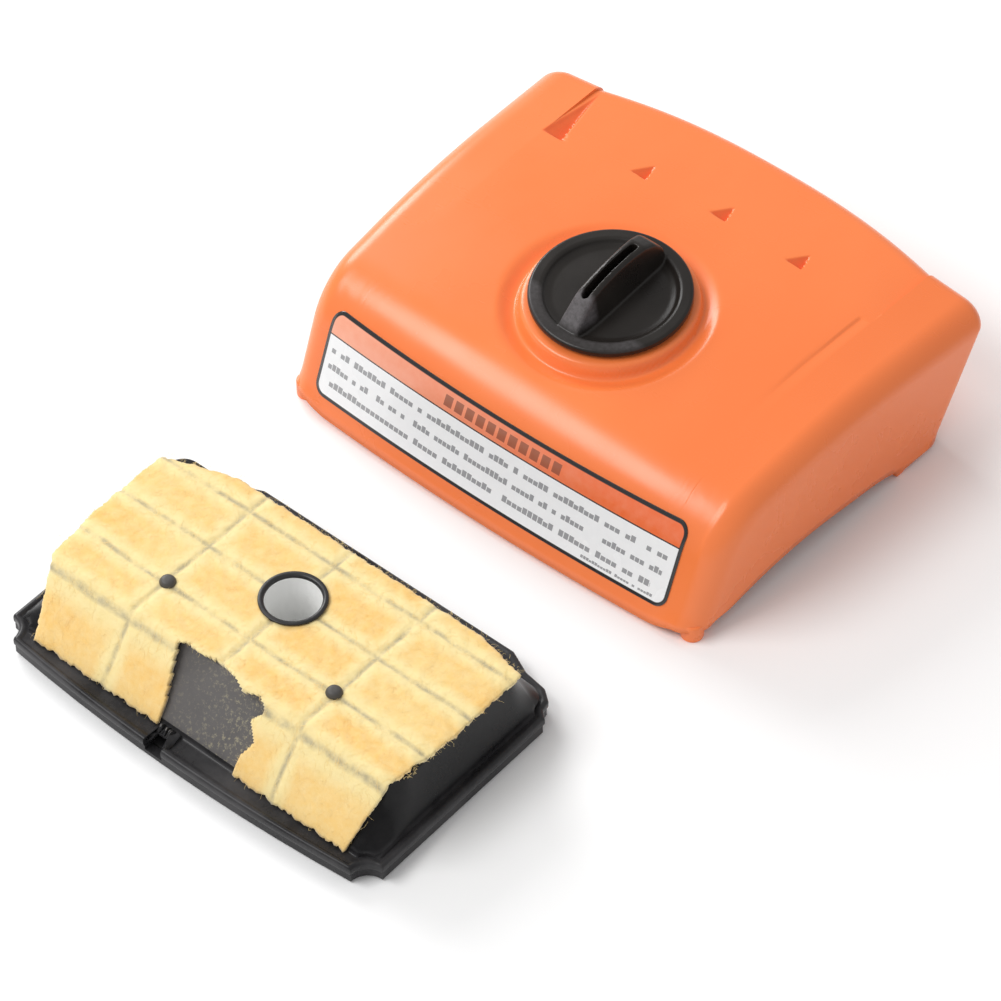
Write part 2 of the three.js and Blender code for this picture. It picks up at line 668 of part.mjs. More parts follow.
function buildUpperFrame() {
  const flange = prism(flangeOutline(0), UPPER_Z.bottom, UPPER_Z.top, 5);
  let frame = flange.add(dome(0, UPPER_Z.top - 0.5));
  frame = frame.subtract(dome(-DOME_WALL, UPPER_Z.bottom - 1));
  const { halfX, halfY, columns, rows } = RIB_WINDOW;
  for (const x of columns) {
    for (const y of rows) {
      const besideRivet = Math.abs(Math.abs(x) - RIVET.x) < halfX && Math.abs(y - RIVET.y) < halfX;
      if (besideRivet) continue;
      const window = box(x - halfX, x + halfX, y - halfY, y + halfY, DOME_TOP - 4, DOME_TOP + 2);
      frame = frame.subtract(window);
    }
  }
  frame = frame.subtract(moved(disc(SLEEVE.hole, 0, 30, 32), 0, HOLE.y));
  for (const side of [-1, 1]) {
    frame = frame.subtract(moved(disc(RIVET.shank + FIT, 10, 30, 20), side * RIVET.x, RIVET.y));
  }
  return frame.subtract(prySlot());
}

add(upperHalf, "upper_frame", buildUpperFrame(), "frame");

// A closed straight-sided shape through the points.
function outline(points) {
  return new THREE.Shape(points.map(([x, y]) => new THREE.Vector2(x, y)));
}

// Felt over the crown and the front slope, worn away in the middle of the slope.
function buildFelt() {
  const outer = dome(FELT_GAP + FELT_THICKNESS, UPPER_Z.top + FIT);
  const inner = dome(FELT_GAP, UPPER_Z.top - 2);
  const plan = outline([
    [-46, -31.8], [45.6, -31.6], [49.6, -20], [51.6, -6], [51.8, 19.4], [38, 22.4],
    [-34, 22.6], [-40, 20.6], [-51.8, 16.4], [-51.6, -6], [-49.6, -20],
  ]);
  const bare = outline([
    [-8.6, -40], [-8.6, -30], [-11.6, -21.6], [-8.8, -20.2], [-5.2, -21], [-0.2, -19.6],
    [4.4, -20.8], [8.6, -22.2], [12.6, -21.2], [15.4, -22.8], [13, -24.8], [15.8, -27.2],
    [13.8, -30], [13.8, -40],
  ]);
  let felt = outer.subtract(inner).intersect(prism(plan, 0, 30));
  felt = felt.subtract(prism(bare, 0, 30));
  felt = felt.subtract(moved(disc(SLEEVE.lip + FIT, 0, 30, 32), 0, HOLE.y));
  for (const side of [-1, 1]) {
    felt = felt.subtract(moved(disc(RIVET.shank + FIT, 10, 30, 20), side * RIVET.x, RIVET.y));
  }
  return felt;
}

add(upperHalf, "upper_felt", buildFelt(), "felt");

const FELT_TOP = DOME_TOP + FELT_GAP + FELT_THICKNESS;
const UNDERSIDE = DOME_TOP - DOME_WALL;
const rivet = turned([
  [0, UNDERSIDE - RIVET.tail],
  [RIVET.shank, UNDERSIDE - RIVET.tail],
  [RIVET.shank, FELT_TOP + FIT],
  [RIVET.head, FELT_TOP + FIT],
  [RIVET.head, FELT_TOP + 0.8],
  [RIVET.head - 0.6, FELT_TOP + 1.3],
  [0, FELT_TOP + 1.3],
], 24);
const washerTop = UNDERSIDE - FIT;
const washerBottom = washerTop - RIVET_WASHER.thickness;
const rivetWasher = ring(RIVET.shank + FIT, RIVET_WASHER.radius, washerBottom, washerTop, 20);
for (const [x, name] of [[-RIVET.x, "left"], [RIVET.x, "right"]]) {
  add(upperHalf, `felt_rivet_${name}`, moved(rivet, x, RIVET.y), "black");
  add(upperHalf, `rivet_washer_${name}`, moved(rivetWasher, x, RIVET.y), "steel");
}

const sleeve = turned([
  [HOLE.radius, SLEEVE.bottom],
  [SLEEVE.radius, SLEEVE.bottom],
  [SLEEVE.radius, washerBottom],
  [SLEEVE.collar, washerBottom],
  [SLEEVE.collar, washerTop],
  [SLEEVE.radius, washerTop],
  [SLEEVE.lip, FELT_TOP + 0.3],
  [SLEEVE.radius, FELT_TOP + 0.6],
  [HOLE.radius, FELT_TOP + 0.4],
], 32);
add(upperHalf, "centre_sleeve", moved(sleeve, 0, HOLE.y), "black");

function buildLowerFrame() {
  const { bottom, top } = LOWER_Z;
  let frame = prism(flangeOutline(FIT), bottom, top, 5);
  const spigotGap = DOME_WALL + FIT;
  const spigot = dome(-spigotGap, top - 0.5).subtract(dome(-spigotGap - SPIGOT.wall, top - 1));
  frame = frame.add(spigot.intersect(box(-60, 60, -40, 40, top - 0.6, SPIGOT.top)));
  const grooveTop = GASKET.thickness + FIT;
  const groove = prism(flangeOutline(GASKET.outer - FIT), 0, grooveTop, 5);
  frame = frame.subtract(groove.subtract(prism(flangeOutline(GASKET.inner + FIT), 0, grooveTop, 5)));
  frame = frame.subtract(moved(disc(INTAKE.radius, 0, 4, 40), INTAKE.x, INTAKE.y));
  frame = frame.subtract(moved(disc(SLEEVE.hole, 0, 4, 32), 0, HOLE.y));
  const { x0, x1, y0, y1 } = LOWER_WINDOW;
  frame = frame.subtract(box(x0, x1, y0, y1, 0, 4));
  const x = (x0 + x1) / 2;
  const y = (y0 + y1) / 2;
  const spine = box(x - WINDOW_BAR, x + WINDOW_BAR, y0 - 1, y1 + 1, bottom, top);
  const rung = box(x0 - 1, x1 + 1, y - WINDOW_BAR, y + WINDOW_BAR, bottom, top);
  return frame.add(spine).add(rung).subtract(prySlot());
}

add(lowerHalf, "lower_frame", buildLowerFrame(), "frame");

const gasketHole = prism(flangeOutline(GASKET.inner), -1, 3, 5);
const gasket = prism(flangeOutline(GASKET.outer), 0, GASKET.thickness, 5).subtract(gasketHole);
add(lowerHalf, "sealing_gasket", gasket, "rubber");

const collar = turned([
  [COLLAR.bore, 0],
  [COLLAR.lowerLip, 0],
  [COLLAR.lowerLip, LOWER_Z.bottom - FIT],
  [INTAKE.radius - FIT, LOWER_Z.bottom - FIT],
  [INTAKE.radius - FIT, LOWER_Z.top + FIT],
  [COLLAR.upperLip, LOWER_Z.top + FIT],
  [COLLAR.upperLip, LOWER_Z.top + FIT + COLLAR.lip],
  [COLLAR.bore, LOWER_Z.top + FIT + COLLAR.lip],
], 32);
add(lowerHalf, "intake_collar", moved(collar, INTAKE.x, INTAKE.y), "rubber");

function buildScreen() {
  const { z0, z1, rim, slots, halfSlot, halfBar } = SCREEN;
  const r = COLLAR.bore - FIT;
  let screen = disc(r, z0, z1, 40);
  for (const x of slots) {
    const reach = Math.sqrt((r - rim) ** 2 - (Math.abs(x) + halfSlot) ** 2);
    for (const [y0, y1] of [[-reach, -halfBar], [halfBar, reach]]) {
      screen = screen.subtract(box(x - halfSlot, x + halfSlot, y0, y1, z0 - 1, z1 + 1));
    }
  }
  return screen;
}

add(lowerHalf, "intake_screen", moved(buildScreen(), INTAKE.x, INTAKE.y), "brass");

function buildLowerFelt() {
  const { x0, x1, y0, y1 } = LOWER_WINDOW;
  const { overlap, thickness } = LOWER_PAD;
  const z = LOWER_Z.top + FIT;
  return box(x0 - overlap, x1 + overlap, y0 - overlap, y1 + overlap, z, z + thickness);
}

add(lowerHalf, "lower_felt", buildLowerFelt(), "felt");

export default group;
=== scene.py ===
"""Looks of a chainsaw's air filter cover and its felt filter element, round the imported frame."""

import json
from math import acos, atan2, copysign, cos, hypot, pi, radians, sin, sqrt, tan

import bmesh
import bpy
import numpy as np
from mathutils import Matrix, Vector


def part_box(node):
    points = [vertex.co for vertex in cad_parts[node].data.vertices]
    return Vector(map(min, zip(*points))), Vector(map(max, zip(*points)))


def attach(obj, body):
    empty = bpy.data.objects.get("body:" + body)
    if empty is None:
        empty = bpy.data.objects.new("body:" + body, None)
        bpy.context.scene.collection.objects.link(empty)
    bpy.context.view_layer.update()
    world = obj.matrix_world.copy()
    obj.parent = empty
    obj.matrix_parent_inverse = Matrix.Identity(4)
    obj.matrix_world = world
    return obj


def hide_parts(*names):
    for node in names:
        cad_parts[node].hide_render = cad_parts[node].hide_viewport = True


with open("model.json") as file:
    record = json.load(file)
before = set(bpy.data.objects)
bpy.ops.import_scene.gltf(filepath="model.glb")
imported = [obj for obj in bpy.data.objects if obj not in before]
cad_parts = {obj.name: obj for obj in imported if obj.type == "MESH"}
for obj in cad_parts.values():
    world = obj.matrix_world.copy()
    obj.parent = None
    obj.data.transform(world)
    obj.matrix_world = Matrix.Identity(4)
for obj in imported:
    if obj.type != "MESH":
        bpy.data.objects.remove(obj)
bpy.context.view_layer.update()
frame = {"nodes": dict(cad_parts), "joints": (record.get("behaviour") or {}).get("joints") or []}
rng = np.random.default_rng(7)
MM = 0.001

# Places, from the frame. All lengths below are in millimetres unless a name says otherwise.
LOCK = next(joint for joint in frame["joints"] if joint["name"] == "twist_lock_turn")
LOCK_AT = np.array(LOCK["pos_m"]) / MM
LOCK_AXIS = np.array(LOCK["axis"])
LOCK_AXIS = LOCK_AXIS / np.linalg.norm(LOCK_AXIS)
SLEEVE_LOW, SLEEVE_HIGH = (np.array(v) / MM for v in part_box("centre_sleeve"))
HOLE_Y = 3.4  # the sleeve's centre behind the element's own centre
SLEEVE_X, SLEEVE_Y = ((SLEEVE_LOW[k] + SLEEVE_HIGH[k]) / 2 for k in (0, 1))
ELEMENT_AT = np.array([SLEEVE_X, SLEEVE_Y - HOLE_Y, 0])

# Cover, with its own y that starts at COVER_Y in the frame
COVER_Y = LOCK_AT[1] - 42.4
RIM_Z = 1.6
WALL = 2.2
HALF = 60.9  # half the width at y = 0
FLARE = 0.05  # how much wider each side grows per millimetre towards the back
FOOT_Y = -4.9
LEAN = 0.4
BROW_Z = 31.4
BROW_Y = FOOT_Y + LEAN * BROW_Z
PEAK = (52, 36)  # (y, z) where the deck is highest
REAR = (103.2, 34)
HEEL_Y = 86.2
FRONT_ROUND = 20
BACK_ROUND = 4.5
DECK_ROUND = 260
EDGE_ROUND = 5.5
FRONT_BOW = 2.4
BACK_BOW = 5.4
STEP_X = 47.5  # where the bowed back steps down to each rear corner
REAR_DIP = 0.8
CROWN = 2
CORNER_DROP = 1.6
CORNER_WIDTH = 14
ARCH = {"front": 4, "back": 68, "rise": 4.8}  # under each side wall
BELOW_DECK = 25  # the dents' painted shade shows above this height only
FACE_STEPS, END_STEPS, BACK_STEPS = 10, 12, 10  # up the front, round the back edge, down the back


# Meshes


def link(obj):
    bpy.context.scene.collection.objects.link(obj)


def mesh_object(name, points, faces, smooth_angle=35, body=None, slot=None, replaces=()):
    """A new object from points in millimetres, shaded smooth below an angle."""
    mesh = bpy.data.meshes.new(name)
    mesh.from_pydata((np.asarray(points) * MM).tolist(), [], [tuple(f) for f in faces])
    mesh.validate()
    bm = bmesh.new()
    bm.from_mesh(mesh)
    bmesh.ops.remove_doubles(bm, verts=bm.verts, dist=1e-6)
    bmesh.ops.delete(bm, geom=[e for e in bm.edges if not e.link_faces], context="EDGES")
    bm.to_mesh(mesh)
    bm.free()
    obj = bpy.data.objects.new(name, mesh)
    link(obj)
    shade(obj, smooth_angle)
    if body:
        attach(obj, body)
    if replaces:
        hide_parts(*replaces)
    return obj


def shade(obj, angle=35):
    """Smooth faces, with edges sharper than the angle kept crisp."""
    mesh = obj.data
    mesh.polygons.foreach_set("use_smooth", [True] * len(mesh.polygons))
    bm = bmesh.new()
    bm.from_mesh(mesh)
    limit = radians(angle)
    for edge in bm.edges:
        edge.smooth = len(edge.link_faces) != 2 or edge.calc_face_angle(0) < limit
    bm.to_mesh(mesh)
    bm.free()


def grid_faces(rows, columns, loop=False, flip=False):
    """Quads over a rows by columns grid of points, closed across the columns on request."""
    faces = []
    for r in range(rows - 1):
        for c in range(columns if loop else columns - 1):
            d = (c + 1) % columns
            quad = [r * columns + c, r * columns + d, (r + 1) * columns + d, (r + 1) * columns + c]
            faces.append(quad[::-1] if flip else quad)
    return faces


def turned(name, profile, centre, segments, **kept):
    """An upright solid of revolution from (radius, height) pairs that close or meet the axis."""
    angles = np.arange(segments) * 2 * pi / segments
    rows = [[(r * cos(a), r * sin(a), z) for a in angles] for r, z in profile]
    points = np.array(rows).reshape(-1, 3) + np.asarray(centre)
    return mesh_object(name, points, grid_faces(len(rows), segments, loop=True), **kept)


def thicken(obj, thickness):
    """Gives a sheet of faces a wall, inwards from the faces drawn."""
    wall = obj.modifiers.new("wall", "SOLIDIFY")
    wall.thickness = thickness * MM
    wall.offset = -1
    return wall


def rounded_profile(corners, radius, steps=4):
    """A closed (radius, height) outline with every corner rounded."""
    out = []
    count = len(corners)
    for i, corner in enumerate(corners):
        here = np.array(corner, float)
        if here[0] == 0:
            out.append(tuple(here))
            continue
        before = np.array(corners[i - 1], float) - here
        after = np.array(corners[(i + 1) % count], float) - here
        reach = min(radius, np.linalg.norm(before) * 0.45, np.linalg.norm(after) * 0.45)
        a = here + before / np.linalg.norm(before) * reach
        b = here + after / np.linalg.norm(after) * reach
        for t in np.linspace(0, 1, steps):
            out.append(tuple((1 - t) ** 2 * a + 2 * t * (1 - t) * here + t**2 * b))
    return out if out[0][0] == 0 and out[-1][0] == 0 else out + [out[0]]


# Materials


class Nodes:
    """Short names for building one node material. Patterns use object coordinates in metres."""

    def __init__(self, name):
        self.material = bpy.data.materials.new(name)
        self.material.use_nodes = True
        self.tree = self.material.node_tree
        self.shader = self.tree.nodes["Principled BSDF"]
        coordinates = self.tree.nodes.new("ShaderNodeTexCoord")
        self.place = coordinates.outputs["Object"]

    def feed(self, socket, value):
        """Links a node's output to the socket, or sets a plain value."""
        if hasattr(value, "is_output"):
            self.tree.links.new(value, socket)
        else:
            socket.default_value = value

    def put(self, **values):
        """Sets the shader's inputs; a blank in an input's name is written as _."""
        for name, value in values.items():
            self.feed(self.shader.inputs[name.replace("_", " ")], value)

    def node(self, kind, **inputs):
        made = self.tree.nodes.new(kind)
        for name, value in inputs.items():
            self.feed(made.inputs[name.replace("_", " ")], value)
        return made

    def math(self, operation, *inputs):
        made = self.tree.nodes.new("ShaderNodeMath")
        made.operation = operation
        for socket, value in zip(made.inputs, inputs):
            self.feed(socket, value)
        return made.outputs[0]

    def times(self, *factors):
        product = factors[0]
        for factor in factors[1:]:
            product = self.math("MULTIPLY", product, factor)
        return product

    def minus(self, a, b):
        return self.math("SUBTRACT", a, b)

    def mapped(self, scale):
        return self.node("ShaderNodeMapping", Vector=self.place, Scale=scale).outputs[0]

    def noise(self, scale, detail=4, roughness=0.55, vector=None):
        made = self.node("ShaderNodeTexNoise", Vector=vector or self.place)
        for name, value in zip(("Scale", "Detail", "Roughness"), (scale, detail, roughness)):
            made.inputs[name].default_value = value
        return made.outputs["Fac"]

    def chance(self, seed):
        """A fixed random number from 0 to 1 for each seed."""
        made = self.tree.nodes.new("ShaderNodeTexWhiteNoise")
        made.noise_dimensions = "1D"
        self.feed(made.inputs["W"], seed)
        return made.outputs["Value"]

    def ramp(self, value, low, high, a=0.0, b=1.0):
        """value from low to high becomes a to b."""
        limits = {"From_Min": low, "From_Max": high, "To_Min": a, "To_Max": b}
        return self.node("ShaderNodeMapRange", Value=value, **limits).outputs["Result"]

    def mix(self, factor, a, b):
        made = self.tree.nodes.new("ShaderNodeMix")
        made.data_type = "RGBA"
        for socket, value in ((0, factor), (6, a), (7, b)):
            self.feed(made.inputs[socket], value)
        return made.outputs[2]

    def bump(self, height, strength, distance_mm, normal=None):
        made = self.node("ShaderNodeBump", Height=height, Strength=strength, Distance=distance_mm * MM)
        if normal:
            self.feed(made.inputs["Normal"], normal)
        return made.outputs[0]

    def xyz(self):
        return list(self.node("ShaderNodeSeparateXYZ", Vector=self.place).outputs)


def in_triangle(n, corners):
    """A mask in plan: 1 inside the triangle, 0 outside, for corners in millimetres of the frame."""
    x, y, _ = n.xyz()
    nearest = None
    for i, (ax, ay) in enumerate(corners):
        bx, by = corners[(i + 1) % 3]
        length = hypot(bx - ax, by - ay)
        across, down = (by - ay) / length, (bx - ax) / length
        level = (across * ax - down * ay) * MM
        inside = n.math("MULTIPLY_ADD", x, -across, n.math("MULTIPLY_ADD", y, down, level))
        nearest = inside if nearest is None else n.math("MINIMUM", nearest, inside)
    return n.ramp(nearest, -0.1 * MM, 0.35 * MM)


def moulded_plastic(name, color, dark, roughness, grain, recesses=()):
    """Moulded plastic: faint flow marks, fine grain, hairline scuffs and painted shade in the recesses.
    """
    n = Nodes(name)
    flow = n.noise(28, 3, vector=n.mapped((1, 0.5, 1)))
    body = n.mix(n.ramp(flow, 0.35, 0.65), (*dark, 1), (*color, 1))
    _, _, z = n.xyz()
    for corners in recesses:
        # Painted shade: inside each dent and the wedge, above the deck's height, the colour is darkened
        # to stand in for the shade that falls in them.
        recess_shade = n.times(in_triangle(n, corners), n.math("GREATER_THAN", z, BELOW_DECK * MM))
        recess_shade = n.times(recess_shade, n.ramp(n.noise(300, 3), 0.2, 0.8, 0.65, 0.9))
        body = n.mix(recess_shade, body, (0.85 * dark[0], 0.52 * dark[1], 0.4 * dark[2], 1))
    n.put(Base_Color=body)
    scuffs = n.noise(70, 6, 0.7, vector=n.mapped((1, 5, 1)))
    smudge = n.noise(35, 4)
    rubbed = n.ramp(scuffs, 0.55, 0.75, 0, 0.02)
    n.put(Roughness=n.math("ADD", rubbed, n.ramp(smudge, 0.3, 0.7, roughness - 0.04, roughness + 0.05)))
    n.put(Normal=n.bump(n.noise(2600, 2), grain, 0.02))
    return n.material


def metal(name, color, roughness):
    """Plated metal with fine drawn lines and dull patches."""
    n = Nodes(name)
    lines = n.noise(900, 4, vector=n.mapped((1, 0.06, 1)))
    dull = n.noise(160, 4)
    darker = tuple(0.72 * c for c in color)
    n.put(Base_Color=n.mix(n.ramp(dull, 0.35, 0.7), (*color, 1), (*darker, 1)), Metallic=1.0)
    n.put(Roughness=n.ramp(dull, 0.3, 0.7, roughness - 0.08, roughness + 0.12))
    n.put(Normal=n.bump(lines, 0.3, 0.02))
    return n.material


def rubber(name):
    """Moulded rubber: near black, dull, with a powdery bloom."""
    n = Nodes(name)
    bloom = n.noise(140, 6, 0.65)
    black, grey = (0.016, 0.016, 0.017, 1), (0.05, 0.049, 0.047, 1)
    n.put(Base_Color=n.mix(n.ramp(bloom, 0.45, 0.75), black, grey))
    n.put(Roughness=n.ramp(bloom, 0.3, 0.7, 0.55, 0.8))
    n.put(Normal=n.bump(n.noise(1400, 3), 0.4, 0.03))
    return n.material


def nylon(name):
    """Natural nylon: cloudy off-white that lets a little light in."""
    n = Nodes(name)
    cloud = n.noise(220, 3)
    n.put(Base_Color=n.mix(n.ramp(cloud, 0.3, 0.7), (0.74, 0.71, 0.64, 1), (0.82, 0.8, 0.74, 1)))
    n.put(Roughness=n.ramp(cloud, 0.3, 0.7, 0.42, 0.52))
    n.put(Subsurface_Weight=0.15, Subsurface_Scale=2 * MM)
    n.put(Normal=n.bump(n.noise(1800, 2), 0.2, 0.02))
    return n.material


# Cover


def smoothstep(v, a, b):
    t = np.clip((v - a) / (b - a), 0, 1)
    return t * t * (3 - 2 * t)


def unit(v):
    return v / np.linalg.norm(v)


def fillet(before, corner, after, radius, steps):
    """Points along the rounding of a corner, from tangent to tangent."""
    back, ahead = unit(before - corner), unit(after - corner)
    half = acos(np.clip(back @ ahead, -1, 1)) / 2
    reach = radius / tan(half)
    centre = corner + unit(back + ahead) * radius / sin(half)
    start, end = corner + back * reach - centre, corner + ahead * reach - centre
    sweep = atan2(start[0] * end[1] - start[1] * end[0], start @ end)
    turns = np.linspace(0, sweep, steps + 1)
    c, s = np.cos(turns), np.sin(turns)
    return centre + np.stack([start[0] * c - start[1] * s, start[0] * s + start[1] * c], 1)


def shifted(p, q, distance):
    along = unit(q - p)
    side = np.array([along[1], -along[0]]) * distance
    return p + side, q + side


def meet(first, second):
    (a, b), (c, d) = first, second
    u, v, w = b - a, d - c, c - a
    return a + u * (w[0] * v[1] - w[1] * v[0]) / (u[0] * v[1] - u[1] * v[0])


def between(a, b, steps):
    t = np.linspace(0, 1, steps + 1)[:, None]
    return a + (b - a) * t


def profile(inset, drop):
    """Side view of the cover from its front edge over the deck to its back edge, as (y, z)."""
    foot, brow = np.array([FOOT_Y, 0.0]), np.array([BROW_Y, BROW_Z])
    peak, rear = np.array(PEAK, float), np.array([REAR[0], REAR[1] - drop])
    heel = np.array([HEEL_Y, 0.0])
    floor = (np.array([0.0, RIM_Z]), np.array([1.0, RIM_Z]))
    face, deck = shifted(foot, brow, inset), shifted(brow, peak, inset)
    slope, back = shifted(peak, rear, inset), shifted(rear, heel, inset)
    p0, p1, p2 = meet(face, floor), meet(face, deck), meet(deck, slope)
    p3, p4 = meet(slope, back), meet(back, floor)
    front = fillet(p0, p1, p2, max(FRONT_ROUND - inset, 1), 20)
    top = fillet(p1, p2, p3, DECK_ROUND, 46)
    end = fillet(p2, p3, p4, max(BACK_ROUND - inset, 0.6), END_STEPS)
    rows = [
        between(p0, front[0], FACE_STEPS)[:-1],
        front[:-1],
        between(front[-1], top[0], 26)[:-1],
        top[:-1],
        between(top[-1], end[0], 90)[:-1],
        end[:-1],
        between(end[-1], p4, BACK_STEPS),
    ]
    return np.concatenate(rows)


def bowed(y, z, x):
    """Bows the plan and crowns the deck, as (y, z)."""
    across = x / (HALF + FLARE * y)
    forward = 1 - smoothstep(y, 0, 60)
    rearward = smoothstep(y, 60, REAR[0])
    in_arc = np.maximum(0, 1 - np.abs(x / STEP_X) ** 2.6)
    lift = smoothstep(z, 8, 30) * CROWN * (1 - across**2)
    dip = REAR_DIP * smoothstep(y, 76, 98) * (abs(x) <= STEP_X)
    return y + FRONT_BOW * forward * across**2 + BACK_BOW * rearward * in_arc, z + lift - dip


def column(x, inset):
    """One line of the cover's surface from front to back at x, with its flare."""
    beyond = max(abs(x) - STEP_X, 0)
    yz = profile(inset, CORNER_DROP * beyond / CORNER_WIDTH)
    y, z = bowed(yz[:, 0], yz[:, 1], x)
    flare = (abs(x) / HALF) ** 4 * FLARE * y
    return np.stack([x + copysign(1, x) * flare, y, z], 1)


def low_edge(y):
    """Height of the lower edge of the side walls: an arch between the front foot and the back."""
    t = np.clip((y - ARCH["front"]) / (ARCH["back"] - ARCH["front"]), 0, 1)
    return RIM_Z + 4 * ARCH["rise"] * t * (1 - t)


def side_columns(rim, steps):
    """The side wall: lines from the rounded edge straight down to the arched lower edge."""
    length = np.concatenate([[0], np.cumsum(np.linalg.norm(np.diff(rim, axis=0), axis=1))])
    share = length / length[-1]
    y = rim[0, 1] + (rim[-1, 1] - rim[0, 1]) * share
    slope = (rim[-1, 0] - rim[0, 0]) / (rim[-1, 1] - rim[0, 1])
    foot = np.stack([rim[0, 0] + slope * (y - rim[0, 1]), y, low_edge(y)], 1)
    foot[0], foot[-1] = rim[0], rim[-1]
    return [rim + (foot - rim) * t for t in np.linspace(0, 1, steps + 1)[1:]]


def smooth_max(a, b, k):
    """The larger height, blended where the two differ by less than k."""
    h = np.clip(0.5 + 0.5 * (a - b) / k, 0, 1)
    return b + (a - b) * h + k * h * (1 - h)


# (radius, height over the lock's origin)
BOSS = [(0, -2.7), (19.4, -2.7), (20.2, -2.8), (20.7, -3.2), (21.0, -4.2), (21.5, -6), (22.3, -7.8),
        (23.8, -9.0), (25.6, -9.9), (28.5, -11.8), (34, -18), (90, -160)]
BOSS_BLEND = 1.1
WARP_REACH = 36


def boss_height(x, y):
    """Height of the boss under the knob; it is square to the lock's axis, not to the table."""
    dx, dy = x - LOCK_AT[0], y - (LOCK_AT[1] - COVER_Y)
    radius = np.hypot(dx, dy)
    local = np.interp(radius, *zip(*BOSS))
    return LOCK_AT[2] + local * LOCK_AXIS[2] - dy * LOCK_AXIS[1] / LOCK_AXIS[2]


def boss_moat(x, y):
    """Depth of the hollow skirt round the boss, deeper towards the front."""
    dx, dy = x - LOCK_AT[0], y - (LOCK_AT[1] - COVER_Y)
    radius = np.hypot(dx, dy)
    front = 0.5 - 0.5 * dy / np.maximum(radius, 1)
    return (0.7 + 1.1 * front) * (1 - smoothstep(radius, 22.0, 25.2 + 1.6 * front))


def facet(x, y, a, b, c, depth, soft=0.32):
    """Depth of a three-cornered dent: nothing along a-c, `depth` at b, with softened edges."""
    corners = [np.array(p, float) for p in (a, b, c)]
    nearest = np.full(x.shape, np.inf)
    for i, corner in enumerate(corners):
        along = unit(corners[(i + 1) % 3] - corner)
        nearest = np.minimum(nearest, along[0] * (y - corner[1]) - along[1] * (x - corner[0]))
    hinge = unit(corners[2] - corners[0])
    reach = abs(hinge[0] * (corners[1] - corners[0])[1] - hinge[1] * (corners[1] - corners[0])[0])
    away = -(hinge[0] * (y - corners[0][1]) - hinge[1] * (x - corners[0][0]))
    return depth * np.clip(away / reach, 0, 1) * smoothstep(nearest, -0.12, soft)


DENT_X, DENT_Y, DENT_PITCH, DENT_SAG = 1.2, 80, 23, 0.9
DENT_WIDTH, DENT_LENGTH, DENT_DEPTH = 4.8, 5.4, 2.3
DENT_PLACES = (-1, 0, 1)
WEDGE, WEDGE_DEPTH = ((-49.4, 77), (-43.2, 77), (-47.8, 97)), 2.5
LEDGE_Y, LEDGE_X, LEDGE_DEPTH = (28, 76), (44.4, 46.2), 0.3


def dent_corners():
    """Plan of the three dents in the row, in the cover's own x and y."""
    half = DENT_WIDTH / 2
    corners = []
    for place in DENT_PLACES:
        x, y = DENT_X + DENT_PITCH * place, DENT_Y - DENT_SAG * abs(place)
        corners.append(((x - half, y), (x + half, y), (x + half / 2, y + DENT_LENGTH)))
    return corners


def deck_dents(x, y):
    """The row of three dents, the long wedge at the left and the faint ledge at the right."""
    total = np.zeros_like(x)
    for corners in dent_corners():
        total += facet(x, y, *corners, DENT_DEPTH)
    total += facet(x, y, *WEDGE, WEDGE_DEPTH, soft=1.0)
    past = x - np.interp(y, LEDGE_Y, LEDGE_X)
    ledge = LEDGE_DEPTH * smoothstep(past, -0.3, 0.1) * smoothstep(3 - past, 0, 3)
    return total + ledge * smoothstep(y, LEDGE_Y[0], 74) * (1 - smoothstep(y, 75.6, 76.2))


def warp_to_boss(x, y):
    """Draws the grid lines together round the boss's wall."""
    cx, cy = LOCK_AT[0], LOCK_AT[1] - COVER_Y
    radius = np.hypot(x - cx, y - cy)
    drawn = np.interp(radius, [0, 17.5, 24.5, WARP_REACH], [0, 20.0, 23.2, WARP_REACH])
    share = np.where(radius > 1e-6, drawn / np.maximum(radius, 1e-6), 1)
    share = np.where(radius < WARP_REACH, share, 1)
    return cx + (x - cx) * share, cy + (y - cy) * share


def cover_columns():
    """x positions across the deck, closer together at the steps and dents."""
    middles = [DENT_X + DENT_PITCH * place for place in DENT_PLACES]
    fine = [(middle - 2.8, middle + 2.8) for middle in middles] + [(-49.8, -42.8), (44.2, 48.0)]
    reach, wide, narrow, step_gap = 54.6, 0.9, 0.32, 0.06
    xs = [-reach]
    while xs[-1] < reach:
        near = any(a < xs[-1] < b for a, b in fine)
        xs.append(xs[-1] + (narrow if near else wide))
    xs += [sign * STEP_X + d for sign in (-1, 1) for d in (-step_gap, step_gap)]
    return sorted(xs)


